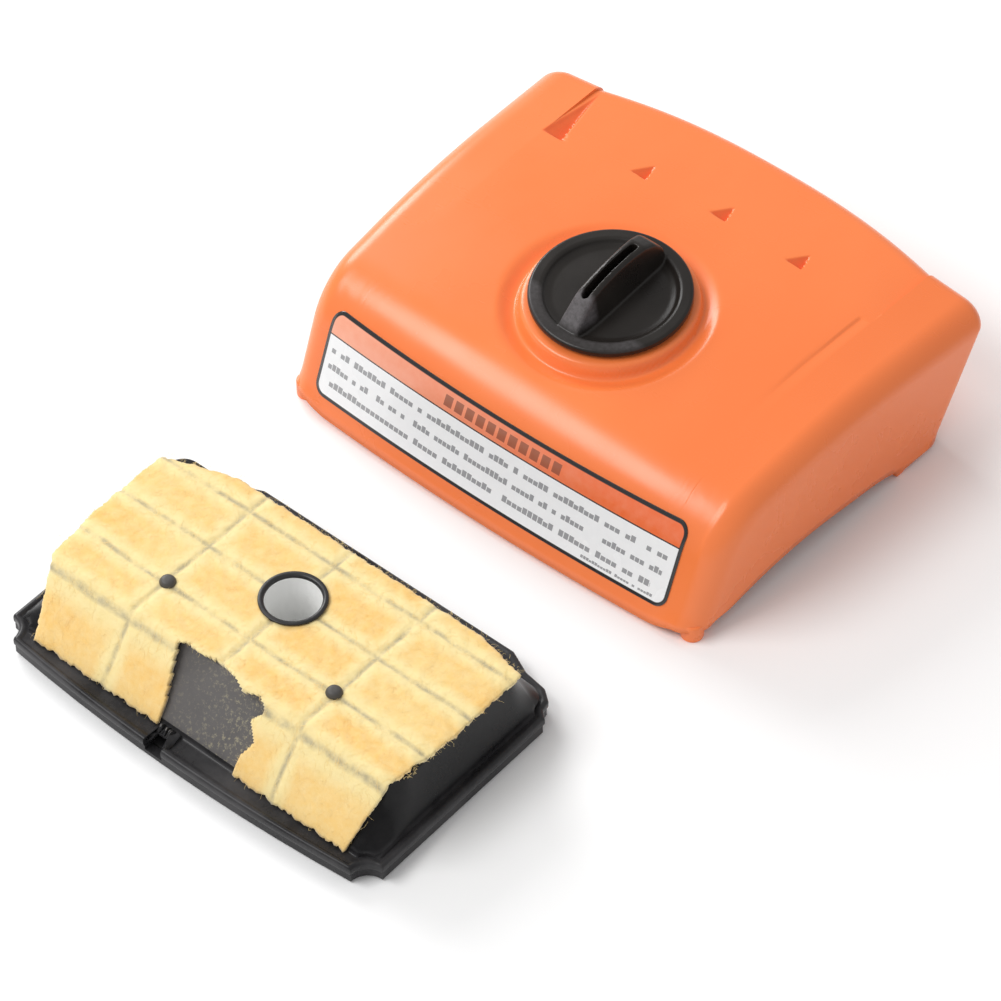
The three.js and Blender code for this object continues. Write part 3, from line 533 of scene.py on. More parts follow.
def build_cover():
    """The moulded shell: deck and walls as one grid of columns, with the boss and dents in it."""
    turns = np.linspace(0, pi / 2, 13)
    edges = [(HALF - EDGE_ROUND * (1 - sin(t)), EDGE_ROUND * (1 - cos(t))) for t in turns]
    deck = [column(x, 0) for x in cover_columns() if abs(x) < edges[0][0]]
    right = [column(x, inset) for x, inset in edges]
    left = [column(-x, inset) for x, inset in edges[::-1]]
    right += side_columns(right[-1], 12)
    left = side_columns(left[0], 12)[::-1] + left
    columns = left + deck + right
    first = len(left)
    points = np.stack(columns)
    body = points[first : first + len(deck)]
    row = np.arange(body.shape[1])
    on_top = (row > FACE_STEPS) & (row < len(row) - END_STEPS - BACK_STEPS)
    straight_x, straight_y, z = (body[:, on_top, axis].copy() for axis in range(3))
    x, y = warp_to_boss(straight_x, straight_y)
    lines = np.array([line[0, 0] for line in deck])
    for i, k in zip(*np.nonzero((x != straight_x) | (y != straight_y))):
        j = min(max(np.searchsorted(lines, x[i, k]), 1), len(deck) - 1)
        share = (x[i, k] - lines[j - 1]) / (lines[j] - lines[j - 1])
        near = [np.interp(y[i, k], deck[n][:, 1], deck[n][:, 2]) for n in (j - 1, j)]
        z[i, k] = near[0] + (near[1] - near[0]) * share
    z = smooth_max(z - boss_moat(x, y), boss_height(x, y), BOSS_BLEND) - deck_dents(x, y)
    body[:, on_top] = np.stack([x, y, z], 2)
    rows, count = points.shape[1], points.shape[0]
    flat = points.reshape(-1, 3) + np.array([0, COVER_Y, 0])
    # The lower edge rises over the front feet and before the rear tabs, and has a small lip.
    out_x, own_y = np.abs(flat[:, 0]), flat[:, 1] - COVER_Y
    at_foot = smoothstep(out_x, 48, 56) * (1 - smoothstep(own_y, 5, 12))
    before_tab = smoothstep(out_x, 58, 61) * smoothstep(own_y, 46, 62)
    before_tab *= 1 - smoothstep(own_y, 68.8, 69.6)
    flat[:, 2] += (1.5 * at_foot + 1.3 * before_tab) * (1 - smoothstep(flat[:, 2], 2, 7))
    lip = 0.3 * (1 - smoothstep(flat[:, 2], 2.5, 3.1))
    outward = flat - np.array([0, 48 + COVER_Y, 0])
    outward[:, 2] = 0
    outward[:, 0] *= 0.8
    outward /= np.linalg.norm(outward, axis=1)[:, None]
    flat += outward * lip[:, None]
    faces = grid_faces(count, rows, flip=True)
    cover = mesh_object("cover_moulding", flat, faces, 50, "cover", "cover_plastic", ["cover_shell"])
    thicken(cover, WALL).use_even_offset = False
    return cover


def front_point(x, z, out):
    """The point of the cover's front face at x and z, `out` in front of it."""
    line = column(x, -out)
    half = len(line) // 2
    y = np.interp(z, line[:half, 2], line[:half, 1])
    return (x, y + COVER_Y, z)


LABEL = {"x0": -53.3, "x1": 51.7, "z0": 6.0, "z1": 26.8, "corner": 3.0, "out": 0.22, "thickness": 0.16}
LABEL_BAND = 5.6  # height of the heading band
# Rows of dashes: (height on the cover, dash height, pitch, from x, to x)
LABEL_ROWS = [(17.9, 1.5, 1.45, -51.0, 49.4), (14.0, 1.5, 1.3, -51.0, 48.6),
              (10.1, 1.5, 1.5, -51.0, 46.6), (7.8, 0.7, 0.8, 28.0, 48.0)]
TITLE = {"x0": -17, "x1": 18.2, "z": 23.7, "half_height": 1.25, "pitch": 3.2}


def build_label():
    """The sticker on the front face: a patch with rounded corners that follows the bow."""
    middle, half = (LABEL["x0"] + LABEL["x1"]) / 2, (LABEL["x1"] - LABEL["x0"]) / 2
    rows, columns, r = 40, 120, LABEL["corner"]
    points = []
    for t in np.linspace(0, pi, rows):
        z = LABEL["z0"] + (LABEL["z1"] - LABEL["z0"]) * (1 - cos(t)) / 2
        into = max(r - (z - LABEL["z0"]), r - (LABEL["z1"] - z), 0)
        reach = half - r + sqrt(max(r * r - into * into, 0))
        points += [front_point(middle + reach * u, z, LABEL["out"]) for u in np.linspace(-1, 1, columns)]
    faces = grid_faces(rows, columns)
    label = mesh_object("front_sticker", points, faces, 40, "cover", "label_vinyl", ["front_label"])
    thicken(label, LABEL["thickness"])
    return label


def label_vinyl():
    """Glossy sticker: black border, orange heading band and rows of plain grey dashes."""
    n = Nodes("sticker_vinyl")
    x, _, z = n.xyz()
    middle = (LABEL["x0"] + LABEL["x1"]) / 2 * MM
    level = (LABEL["z0"] + LABEL["z1"]) / 2 * MM
    half_x, half_z = (LABEL["x1"] - LABEL["x0"]) / 2 * MM, (LABEL["z1"] - LABEL["z0"]) / 2 * MM
    r = LABEL["corner"] * MM
    squares = []
    for value, centre, flat_half in ((x, middle, half_x - r), (z, level, half_z - r)):
        away = n.math("ABSOLUTE", n.minus(value, centre))
        into = n.math("MAXIMUM", n.minus(away, flat_half), 0.0)
        squares.append(n.times(into, into))
    edge = n.minus(r, n.math("SQRT", n.math("ADD", *squares)))
    border = n.ramp(edge, 0.75 * MM, 0.9 * MM, 1, 0)
    divide = (LABEL["z1"] - LABEL_BAND) * MM
    heading = n.ramp(z, divide - 0.05 * MM, divide + 0.05 * MM)
    rule = n.math("COMPARE", z, divide, 0.16 * MM)
    grain = n.noise(500, 3)
    white = n.mix(grain, (0.86, 0.86, 0.87, 1), (0.93, 0.93, 0.93, 1))
    faded = n.math("ADD", n.ramp(x, -50 * MM, 30 * MM, 0, 0.85), n.ramp(grain, 0.3, 0.7, 0, 0.15))
    color = n.mix(heading, white, n.mix(faded, (0.93, 0.42, 0.28, 1), (0.86, 0.16, 0.045, 1)))
    ink = None
    for number, (at, height, pitch, start, stop) in enumerate(LABEL_ROWS):
        line = n.math("COMPARE", z, at * MM, height / 2 * MM)
        place = n.math("DIVIDE", n.minus(x, start * MM), pitch * MM)
        cell = n.math("FLOOR", place)
        seed = n.math("ADD", cell, 31.7 * number)
        chance = n.chance(seed)
        tall = n.math("GREATER_THAN", n.math("FRACT", n.times(chance, 7.3)), 0.62)
        short = n.math("COMPARE", z, (at - 0.14 * height) * MM, 0.36 * height * MM)
        line = n.math("MAXIMUM", short, n.times(line, tall))
        printed = n.math("GREATER_THAN", chance, 0.17)
        dash = n.times(printed, n.math("LESS_THAN", n.math("FRACT", place), 0.86))
        inside = n.times(n.math("GREATER_THAN", x, start * MM), n.math("LESS_THAN", x, stop * MM))
        row = n.times(line, dash, inside)
        ink = row if ink is None else n.math("ADD", ink, row)
    start, stop = TITLE["x0"] * MM, TITLE["x1"] * MM
    place = n.math("DIVIDE", n.minus(x, start), TITLE["pitch"] * MM)
    bars = n.math("LESS_THAN", n.math("FRACT", place), 0.72)
    span = n.times(n.math("GREATER_THAN", x, start), n.math("LESS_THAN", x, stop))
    title = n.times(bars, span, n.math("COMPARE", z, TITLE["z"] * MM, TITLE["half_height"] * MM))
    color = n.mix(n.times(ink, 0.72), color, (0.12, 0.12, 0.13, 1))
    color = n.mix(n.times(title, 0.75), color, (0.2, 0.07, 0.045, 1))
    color = n.mix(rule, color, (0.05, 0.04, 0.04, 1))
    n.put(Base_Color=n.mix(border, color, (0.012, 0.012, 0.013, 1)))
    n.put(Roughness=n.ramp(n.noise(60, 3), 0.3, 0.7, 0.2, 0.3), Coat_Weight=0.4, Coat_Roughness=0.1)
    n.put(Normal=n.bump(n.noise(160, 2), 0.08, 0.05))
    return n.material


def apply_all(obj):
    """Turns an object's modifiers into plain mesh."""
    bpy.context.view_layer.update()
    finished = bpy.data.meshes.new_from_object(obj.evaluated_get(bpy.context.evaluated_depsgraph_get()))
    obj.modifiers.clear()
    obj.data = finished


FRONT_FOOT = {"x": 57.8, "y": 1.9, "radius": 2.7, "height": 4.6}
TAB = {"front": 69.4, "back": 72.6, "top": 5}


def front_foot(name, side):
    """A small round foot under the cover's front corner."""
    radius, height = FRONT_FOOT["radius"], FRONT_FOOT["height"]
    outline = [(0, 0), (radius - 0.1, 0), (radius, 0.4), (radius, height), (0, height)]
    centre = (side * FRONT_FOOT["x"], FRONT_FOOT["y"] + COVER_Y, 0)
    return turned(name, rounded_profile(outline, 0.5), centre, 48, body="cover", slot="cover_plastic")


def rear_tab(name, side):
    """A thin locating tab under the side wall, near the back."""
    y0, y1, z1 = TAB["front"], TAB["back"], TAB["top"]
    middle, centre = side * (HALF + FLARE * y0 - WALL / 2), (y0 + y1) / 2
    outline = [(y0 + 0.5, 0), (y1 - 0.5, 0), (y1 - 0.1, 0.4), (y1, z1), (y0, z1), (y0 + 0.1, 0.4)]
    rings = []
    for dx, shrink in ((-0.9, 0.3), (-0.65, 0), (0.65, 0), (0.9, 0.3)):
        for y, z in outline:
            drawn = centre + (y - centre) * (1 - shrink / 2)
            rings.append((middle + dx, drawn + COVER_Y, max(z, shrink * 0.6)))
    faces = grid_faces(4, 6, loop=True) + [list(range(5, -1, -1)), list(range(18, 24))]
    return mesh_object(name, rings, faces, 40, "cover", "cover_plastic")


# Knob

# (radius, height), over the rim and down the hub
KNOB = [(0, -1.9), (0, -1.15), (8, -1.25), (13.6, -1.35), (15.1, -1.0), (15.8, -0.2), (16.4, 0),
        (18.5, 0), (19.0, -0.35), (19.05, -1.6), (18.5, -2.2), (5.7, -2.2), (5.7, -8.2),
        (4.4, -8.2), (4.4, -1.9), (0, -1.9)]
# Sections of the grip: (y, height, half width at the top, at the base)
RIB = [(-15.9, -0.4, 2.9, 3.0), (-15.3, 0.4, 2.8, 3.0), (-12.4, 3.0, 2.6, 3.4), (-9.6, 5.4, 2.4, 3.7),
       (-8.2, 6.3, 2.3, 3.8), (-4, 7.1, 2.2, 3.9), (1, 7.6, 2.2, 3.9), (6, 7.5, 2.3, 3.9),
       (10, 7.0, 2.5, 3.8), (13.2, 5.6, 2.8, 3.8), (15.2, 3.2, 3.2, 3.7), (16.2, -0.4, 3.4, 3.6)]
GRIP_SLOT = {"half_width": 0.95, "back": 8.4, "front": -8.5, "floor": 2.4, "over": 12}


def rib_points():
    """The grip's cross sections, smoothly joined, each with a softly crowned top."""
    table = np.array(RIB)
    rows = []
    for y in np.linspace(table[0, 0], table[-1, 0], 70):
        z, top, base = (np.interp(y, table[:, 0], table[:, k]) for k in (1, 2, 3))
        z = max(z, -0.5)
        low = -1.7
        side = [(top, z - 0.7), (top - 0.25, z - 0.22), (top - 0.9, z)]
        section = [(-base, low), (base, low), *side, (0, z + 0.08)]
        section += [(0.9 - top, z), (0.25 - top, z - 0.22), (-top, z - 0.7)]
        rows.append([(x, y, h) for x, h in section])
    return rows


def combine(target, tool, operation):
    """Joins the tool to the target or takes it away, and removes the tool."""
    step = target.modifiers.new("cut", "BOOLEAN")
    step.operation = operation
    step.solver = "EXACT"
    step.object = tool
    apply_all(target)
    bpy.data.objects.remove(tool)


def closed_loft(name, rows):
    """A solid through rings of points, closed at both ends."""
    count = len(rows[0])
    faces = grid_faces(len(rows), count, loop=True, flip=True)
    faces += [list(range(count)), [len(rows) * count - 1 - i for i in range(count)]]
    return mesh_object(name, np.array(rows).reshape(-1, 3), faces)


def build_knob():
    """The knob: a turned disc, the grip across it and the slot in the grip, with soft edges."""
    knob = turned("twist_knob_moulding", KNOB[::-1], (0, 0, 0), 160)
    combine(knob, closed_loft("grip", rib_points()), "UNION")
    half, ring = GRIP_SLOT["half_width"], []
    for middle, start in ((GRIP_SLOT["back"], 0), (GRIP_SLOT["front"], pi)):
        turns = np.linspace(start, start + pi, 12)
        ring += [(half * cos(t), middle + half * sin(t)) for t in turns]
    rings = [[(x, y, z) for x, y in ring] for z in (GRIP_SLOT["over"], GRIP_SLOT["floor"])]
    combine(knob, closed_loft("slot", rings), "DIFFERENCE")
    even = knob.modifiers.new("even", "REMESH")
    even.mode = "VOXEL"
    even.voxel_size = 0.24 * MM
    soften = knob.modifiers.new("soften", "SMOOTH")
    soften.factor = 0.5
    soften.iterations = 5
    apply_all(knob)
    turn = Vector((0, 0, 1)).rotation_difference(Vector(LOCK_AXIS)).to_matrix().to_4x4()
    knob.data.transform(Matrix.Translation(Vector(LOCK_AT * MM)) @ turn)
    shade(knob, 60)
    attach(knob, "lock")
    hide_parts("twist_knob")
    return knob


# Filter element

FLANGE = {"half_x": 55.0, "front": -34.9, "back": 34.2, "bow": 2.6, "notch": 4.8}
FOOT_RECT = {"half_x": 52.6, "front": -31.0, "back": 28.6, "corner": 4.0}
CROWN_RECT = {"half_x": 50.6, "front": -20.2, "back": 21.4, "corner": 4.5}
# The flange's beaded rim: (inwards from the outline, height)
BEAD = [(0.5, 3.0), (0.12, 3.1), (0, 3.4), (0, 4.6), (0.12, 5.0), (0.5, 5.25), (1.0, 5.3), (1.5, 5.2),
        (1.8, 4.98), (2.2, 4.9)]
FLANGE_TOP = 4.9
DOME_TOP = 20.0
FELT_TOP = 21.8
ROOT_ROUND, DOME_ROUND = 1.1, 1.4
FRAME_HOLE = 7.7
AROUND = 1000  # points round the upper frame


def flange_outline():
    """Plan of the element's flange, bowed at the front with a hollow notch at each front corner."""
    hx, front, back, n = (FLANGE[k] for k in ("half_x", "front", "back", "notch"))
    points = [(t * (hx - n), front - FLANGE["bow"] * (1 - t * t)) for t in np.linspace(-1, 1, 60)]
    turns = np.linspace(pi, pi / 2, 14)
    points += [(hx + n * cos(t), front + n * sin(t)) for t in turns]
    corner = [(0, 10.4), (2, 8.6), (2.6, 6), (5.4, 3.8), (11.6, 2.8), (17.6, 0)]
    points += [(hx - a, back - b) for a, b in corner]
    points += [(a - hx, back - b) for a, b in corner[::-1]]
    points += [(-hx - n * cos(t), front + n * sin(t)) for t in turns[::-1]]
    return np.array(points)


def rect_outline(half_x, front, back, corner):
    """Plan of a rectangle with rounded corners."""
    points = []
    for cx, cy, start in (
        (half_x - corner, front + corner, -0.5),
        (half_x - corner, back - corner, 0),
        (corner - half_x, back - corner, 0.5),
        (corner - half_x, front + corner, 1),
    ):
        for t in np.linspace(start * pi, (start + 0.5) * pi, 10):
            points.append((cx + corner * cos(t), cy + corner * sin(t)))
    return np.array(points)


def radii(outline):
    """Distance from the middle to the outline, at AROUND equal turns."""
    nxt = np.roll(outline, -1, axis=0)
    out = np.zeros(AROUND)
    for i, angle in enumerate(np.arange(AROUND) * 2 * pi / AROUND):
        d = np.array([cos(angle), sin(angle)])
        e = nxt - outline
        det = d[1] * e[:, 0] - d[0] * e[:, 1]
        det = np.where(np.abs(det) < 1e-12, 1e-12, det)
        t = (outline[:, 1] * e[:, 0] - outline[:, 0] * e[:, 1]) / det
        s = (d[0] * outline[:, 1] - d[1] * outline[:, 0]) / det
        hits = t[(s >= -1e-9) & (s <= 1 + 1e-9) & (t > 0)]
        out[i] = hits.max() if len(hits) else 0
    return out


def build_upper_frame():
    """Flange with a beaded rim, and the raised box that carries the felt."""
    rim = radii(flange_outline())
    foot_ring = radii(rect_outline(**FOOT_RECT))
    crown_ring = radii(rect_outline(**CROWN_RECT))
    rows = [(rim - into, z) for into, z in BEAD]
    gap = np.minimum(rim - 2.3, foot_ring + ROOT_ROUND)
    rows.append((gap, FLANGE_TOP))
    for t in np.linspace(0.2, 1, 5) * pi / 2:
        root = foot_ring + ROOT_ROUND * (1 - sin(t))
        rows.append((np.minimum(gap, root), FLANGE_TOP + ROOT_ROUND * (1 - cos(t))))
    wall_low, wall_high = FLANGE_TOP + ROOT_ROUND, DOME_TOP - DOME_ROUND
    for t in np.linspace(0.08, 1, 14):
        rows.append((foot_ring + (crown_ring - foot_ring) * t, wall_low + (wall_high - wall_low) * t))
    for t in np.linspace(0.2, 1, 5) * pi / 2:
        rows.append((crown_ring - DOME_ROUND * (1 - cos(t)), wall_high + DOME_ROUND * sin(t)))
    turns = np.linspace(0, 2 * pi, 60, endpoint=False)
    circle = np.stack([np.cos(turns), np.sin(turns)], 1) * FRAME_HOLE
    hole = radii(circle + np.array([0, HOLE_Y]))
    flat = crown_ring - DOME_ROUND
    for t in (0.25, 0.5, 0.75, 1):
        rows.append((flat + (hole - flat) * t, DOME_TOP))
    angles = np.arange(AROUND) * 2 * pi / AROUND
    points = []
    for radius, z in rows:
        x, y = radius * np.cos(angles), radius * np.sin(angles)
        slot = (x > -8) & (x < -3) & (y < FLANGE["front"] + 2.4)
        y = np.where(slot, np.maximum(y, FLANGE["front"] + 2.4), y)
        points.append(np.stack([x, y, np.full(AROUND, z)], 1))
    points = np.concatenate(points) + ELEMENT_AT
    faces = grid_faces(len(rows), AROUND, loop=True)
    upper = mesh_object(
        "upper_frame_moulding", points, faces, 40, "element_upper", "frame_plastic", ["upper_frame"]
    )
    thicken(upper, 1.4)
    return upper


FELT_FRONT, FELT_BEND = -31.8, -20.6  # y of the front edge and of the bend to the crown
FELT_SIDES = [(-31.8, 46.0), (-20.5, 50.0), (-6.0, 51.7), (24.0, 51.9)]  # (y, half width)
FELT_THICKNESS = 1.25
FELT_COLUMNS = (-25.0, 0.4, 25.0)  # x of the seams
FELT_ROWS = (16.6, 3.0, -11.0, -22.6)  # y of the seams
SEAM_WIDTH, SEAM_DEPTH = 0.75, 0.34
# Plan of the patch at the front where the felt has torn away
BARE = [(-8.6, -40), (-8.6, -30), (-11.6, -21.6), (-8.8, -20.2), (-5.2, -21), (-0.2, -19.6),
        (4.4, -20.8), (8.6, -22.2), (12.6, -21.2), (15.4, -22.8), (13, -24.8), (15.8, -27.2),
        (13.8, -30), (13.8, -40)]


def felt_half(y):
    return np.interp(y, *zip(*FELT_SIDES))


def felt_back(x):
    """y of the felt's back edge, drawn in at both corners."""
    return np.interp(x, [-51.8, -40, -34, 38, 51.8], [16.4, 20.6, 22.6, 22.4, 19.4])


def felt_surface(x, y):
    """Height of the felt: flat on the crown, rounded over the front edge and down the slope."""
    slope_y, slope_z = FELT_FRONT, 6.9
    crease_y = CROWN_RECT["front"] - 0.9
    grade = (FELT_TOP - slope_z) / (crease_y - slope_y)
    down = slope_z + (y - slope_y) * grade
    return -smooth_max(-down, -np.full_like(down, FELT_TOP), 1.5)


def seams(x, y):
    """Depth of the quilting lines as a share, which adds up where two lines cross."""
    depth = np.zeros_like(x)
    wander = 0.35 * np.sin(x * 0.31 + 1) + 0.25 * np.sin(y * 0.5)
    for value, lines in ((x, FELT_COLUMNS), (y, FELT_ROWS)):
        for line in lines:
            depth += np.exp(-(((value - line + wander * 0.6) / SEAM_WIDTH) ** 2))
    return depth


def inside_polygon(x, y, polygon):
    inside = np.zeros(x.shape, bool)
    for (ax, ay), (bx, by) in zip(polygon, polygon[1:] + polygon[:1]):
        if ay == by:
            continue
        crosses = ((ay > y) != (by > y)) & (x < (bx - ax) * (y - ay) / (by - ay) + ax)
        inside ^= crosses
    return inside


def build_felt():
    """Needled felt over the crown and front slope, quilted into pockets, with ragged edges."""
    rows, columns = 150, 220
    v, u = np.meshgrid(np.linspace(0, 1, rows), np.linspace(-1, 1, columns), indexing="ij")
    bend = 0.24  # the share of the rows that lies on the slope
    path = np.interp(v, [0, bend, 1], [FELT_FRONT, FELT_BEND, 0])
    length = felt_back(u * felt_half(path)) - FELT_BEND
    path = path - 0.6 * (1 - np.clip(v / bend, 0, 1))
    y = np.where(v <= bend, path, FELT_BEND + length * np.clip((v - bend) / (1 - bend), 0, 1))
    x = u * felt_half(y)
    fray = 0.12 * np.sin(x * 0.9 + y * 0.7) + 0.1 * np.sin(x * 2.3 - y * 1.9 + 2 * np.sin(x * 0.5 + y))
    fray += rng.normal(0, 0.06, x.shape)
    edge = np.maximum(np.abs(u) ** 40, np.maximum((1 - v) ** 60, v**60))
    x += fray * edge
    y += np.roll(fray, 7, axis=1) * edge
    lump = 0.1 * np.sin(x * 0.8 + 2 * np.sin(y * 0.4)) * np.sin(y * 0.9 + 1.5 * np.sin(x * 0.37))
    lump += rng.normal(0, 0.03, (rows, columns))
    z = felt_surface(x, y) + lump - SEAM_DEPTH * np.clip(seams(x, y), 0, 1.2) - 0.5 * edge
    points = np.stack([x, y, z], 2).reshape(-1, 3)
    faces = grid_faces(rows, columns)
    middle = points[np.array(faces)].mean(1)
    worn = inside_polygon(middle[:, 0], middle[:, 1], BARE)
    hole = np.hypot(middle[:, 0], middle[:, 1] - HOLE_Y) < 7.4
    kept = [f for f, out in zip(faces, worn | hole) if not out]
    points += ELEMENT_AT
    felt = mesh_object("felt_pad", points, kept, 70, "element_upper", "filter_felt", ["upper_felt"])
    thicken(felt, FELT_THICKNESS)
    return felt


def build_fibres():
    """Loose fibres lying on the felt and standing out from its edges."""
    points, faces = [], []
    outline = [(x, FELT_FRONT) for x in np.linspace(-46, 46, 160)]
    outline += [(side * 51.8, y) for side in (-1, 1) for y in np.linspace(-18, 18, 60)]
    outline += [(x, float(felt_back(x))) for x in np.linspace(-51, 51, 160)]
    outline += [point for point in BARE[1:-1] for _ in range(9)]
    for k in range(3000):
        if k % 5:
            y = rng.uniform(-31, 21)
            half = felt_half(y)
            x = rng.uniform(-half, half)
            length = rng.uniform(1.2, 3.6)
        else:
            x, y = outline[rng.integers(len(outline))]
            x, y = x + rng.normal(0, 0.4), y + rng.normal(0, 0.4)
            length = rng.uniform(0.5, 1.3)
        if hypot(x, y - HOLE_Y) < 8.4 or inside_polygon(np.array([x]), np.array([y]), BARE)[0]:
            continue
        heading, curl = rng.uniform(0, 2 * pi), rng.normal(0, 0.5)
        lift = rng.uniform(0.02, 0.28)
        base = len(points)
        for step in range(5):
            t = step / 4
            z = float(felt_surface(np.array([x]), np.array([y]))[0])
            z = z + lift * sin(t * pi) - 0.02
            side = np.array([-sin(heading), cos(heading)]) * 0.03 * (1 - 0.6 * t)
            points += [(x + side[0], y + side[1], z), (x - side[0], y - side[1], z)]
            if step:
                a = base + 2 * step
                faces.append([a - 2, a - 1, a + 1, a])
            x, y = x + cos(heading) * length / 4, y + sin(heading) * length / 4
            heading += curl
    points = np.array(points) + ELEMENT_AT
    return mesh_object("felt_fibres", points, faces, 60, "element_upper", "filter_felt")


def build_lower_felt():
    """The pad inside the lower half: a thin quilted cushion of felt."""
    low, high = (np.array(v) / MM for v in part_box("lower_felt"))
    rows, columns = 40, 34
    v, u = np.meshgrid(np.linspace(0, 1, rows), np.linspace(0, 1, columns), indexing="ij")
    x, y = low[0] + (high[0] - low[0]) * u, low[1] + (high[1] - low[1]) * v
    round_off = np.minimum(1, 12 * np.minimum(np.minimum(u, 1 - u), np.minimum(v, 1 - v)))
    crown, seam = 0.35, 0.3
    puff = crown * np.sqrt(round_off)
    puff = puff - seam * np.exp(-(((u - 0.5) / 0.04) ** 2)) - seam * np.exp(-(((v - 0.5) / 0.03) ** 2))
    z = high[2] - crown + puff + rng.normal(0, 0.02, u.shape)
    points, faces = np.stack([x, y, z], 2).reshape(-1, 3), grid_faces(rows, columns)
    kept = {"body": "element_lower", "slot": "filter_felt", "replaces": ["lower_felt"]}
    pad = mesh_object("lower_felt_pad", points, faces, 70, **kept)
    thicken(pad, 0.9)
    return pad


def felt_material(name, lines_x=(), lines_y=()):
    """Pale yellow needled felt: warmer in the pockets, greyer along the seams."""
    n = Nodes(name)
    x, y, _ = n.xyz()
    wobble = n.times(n.minus(n.noise(60, 3), 0.5), 1.4 * MM)
    nearest = None
    for value, lines, at in ((x, lines_x, ELEMENT_AT[0]), (y, lines_y, ELEMENT_AT[1])):
        shifted_value = n.math("ADD", value, wobble)
        for line in lines:
            gap = n.math("ABSOLUTE", n.minus(shifted_value, (line + at) * MM))
            nearest = gap if nearest is None else n.math("MINIMUM", nearest, gap)
    patchy = n.noise(45, 4)
    fluff = n.noise(420, 6, 0.7)
    pale, warm = (0.88, 0.71, 0.33, 1), (0.87, 0.55, 0.17, 1)
    color = n.mix(n.ramp(patchy, 0.35, 0.7), pale, warm)
    if nearest is not None:
        pocket = n.times(n.ramp(nearest, 1.8 * MM, 4.2 * MM), n.ramp(patchy, 0.3, 0.6, 0.55, 1))
        color = n.mix(pocket, pale, warm)
        # Greyer in speckles close to the seam lines.
        spots = n.ramp(n.noise(170, 5, 0.65), 0.4, 0.6, 0.18, 1)
        seam_grey = n.times(n.ramp(nearest, 0.15 * MM, 0.85 * MM, 1, 0), spots, 0.75)
        color = n.mix(seam_grey, color, (0.27, 0.25, 0.19, 1))
    color = n.mix(n.ramp(fluff, 0.35, 0.7, 0, 0.35), color, (0.92, 0.78, 0.46, 1))
    n.put(Base_Color=color, Roughness=n.ramp(fluff, 0.3, 0.7, 0.85, 0.98))
    n.put(Sheen_Weight=0.35, Sheen_Roughness=0.5, Specular_IOR_Level=0.2)
    strands = n.noise(700, 6, 0.75, vector=n.mapped((1, 0.35, 1)))
    crossing = n.noise(700, 6, 0.75, vector=n.mapped((0.35, 1, 1)))
    n.put(Normal=n.bump(n.math("ADD", strands, crossing), 0.8, 0.16))
    return n.material


def frame_plastic(name, torn):
    """Black plastic with dust. A torn one has a grey patch with residue where the felt is gone."""
    n = Nodes(name)
    x, y, z = n.xyz()
    dust = n.noise(75, 6, 0.65)
    wall = n.mix(n.ramp(dust, 0.42, 0.75), (0.004, 0.0038, 0.0045, 1), (0.016, 0.015, 0.016, 1))
    flange = n.mix(n.ramp(dust, 0.35, 0.7), (0.018, 0.0175, 0.019, 1), (0.055, 0.053, 0.055, 1))
    color = n.mix(n.ramp(z, 5.4 * MM, 6.6 * MM), flange, wall)
    rough = n.ramp(dust, 0.35, 0.7, 0.24, 0.4)
    if torn:
        in_x = n.math("COMPARE", x, (ELEMENT_AT[0] + 3) * MM, 15 * MM)
        in_y = n.math("COMPARE", y, (ELEMENT_AT[1] - 26.5) * MM, 7.4 * MM)
        high = n.math("GREATER_THAN", z, 6.2 * MM)
        patch = n.times(in_x, in_y, high)
        color = n.mix(patch, color, n.mix(dust, (0.085, 0.08, 0.08, 1), (0.155, 0.146, 0.142, 1)))
        rightward = n.ramp(x, (ELEMENT_AT[0] - 8) * MM, (ELEMENT_AT[0] + 15) * MM, 0.1, 0.75)
        residue = n.times(n.ramp(n.noise(1100, 6, 0.75), 0.53, 0.62), rightward, patch)
        color = n.mix(residue, color, (0.4, 0.36, 0.24, 1))
        rough = n.math("ADD", rough, n.times(patch, 0.3))
    n.put(Base_Color=color, Roughness=rough, Specular_IOR_Level=0.2)
    n.put(Normal=n.bump(n.noise(1500, 3), 0.25, 0.03, n.bump(n.noise(70, 2), 0.25, 0.3)))
    return n.material


def worn_knob():
    """Black moulded plastic, rubbed grey on the ramp at the near end of the grip."""
    n = Nodes("knob_moulding_worn")
    _, y, z = n.xyz()
    flow = n.noise(60, 4)
    color = n.mix(n.ramp(flow, 0.35, 0.7), (0.013, 0.0105, 0.009, 1), (0.021, 0.0175, 0.015, 1))
    ramp = n.ramp(y, (LOCK_AT[1] - 9.6) * MM, (LOCK_AT[1] - 8.0) * MM, 1, 0)
    above = n.ramp(z, (LOCK_AT[2] - 1.6) * MM, (LOCK_AT[2] + 0.4) * MM)
    worn = n.times(ramp, above, n.ramp(n.noise(900, 4, 0.7), 0.3, 0.62, 0.35, 1))
    color = n.mix(worn, color, (0.11, 0.1, 0.105, 1))
    n.put(Base_Color=color, Specular_IOR_Level=0.3)
    n.put(Roughness=n.math("ADD", n.ramp(flow, 0.3, 0.7, 0.26, 0.36), n.times(worn, 0.2)))
    n.put(Normal=n.bump(n.noise(2200, 3), 0.5, 0.02))
    return n.material


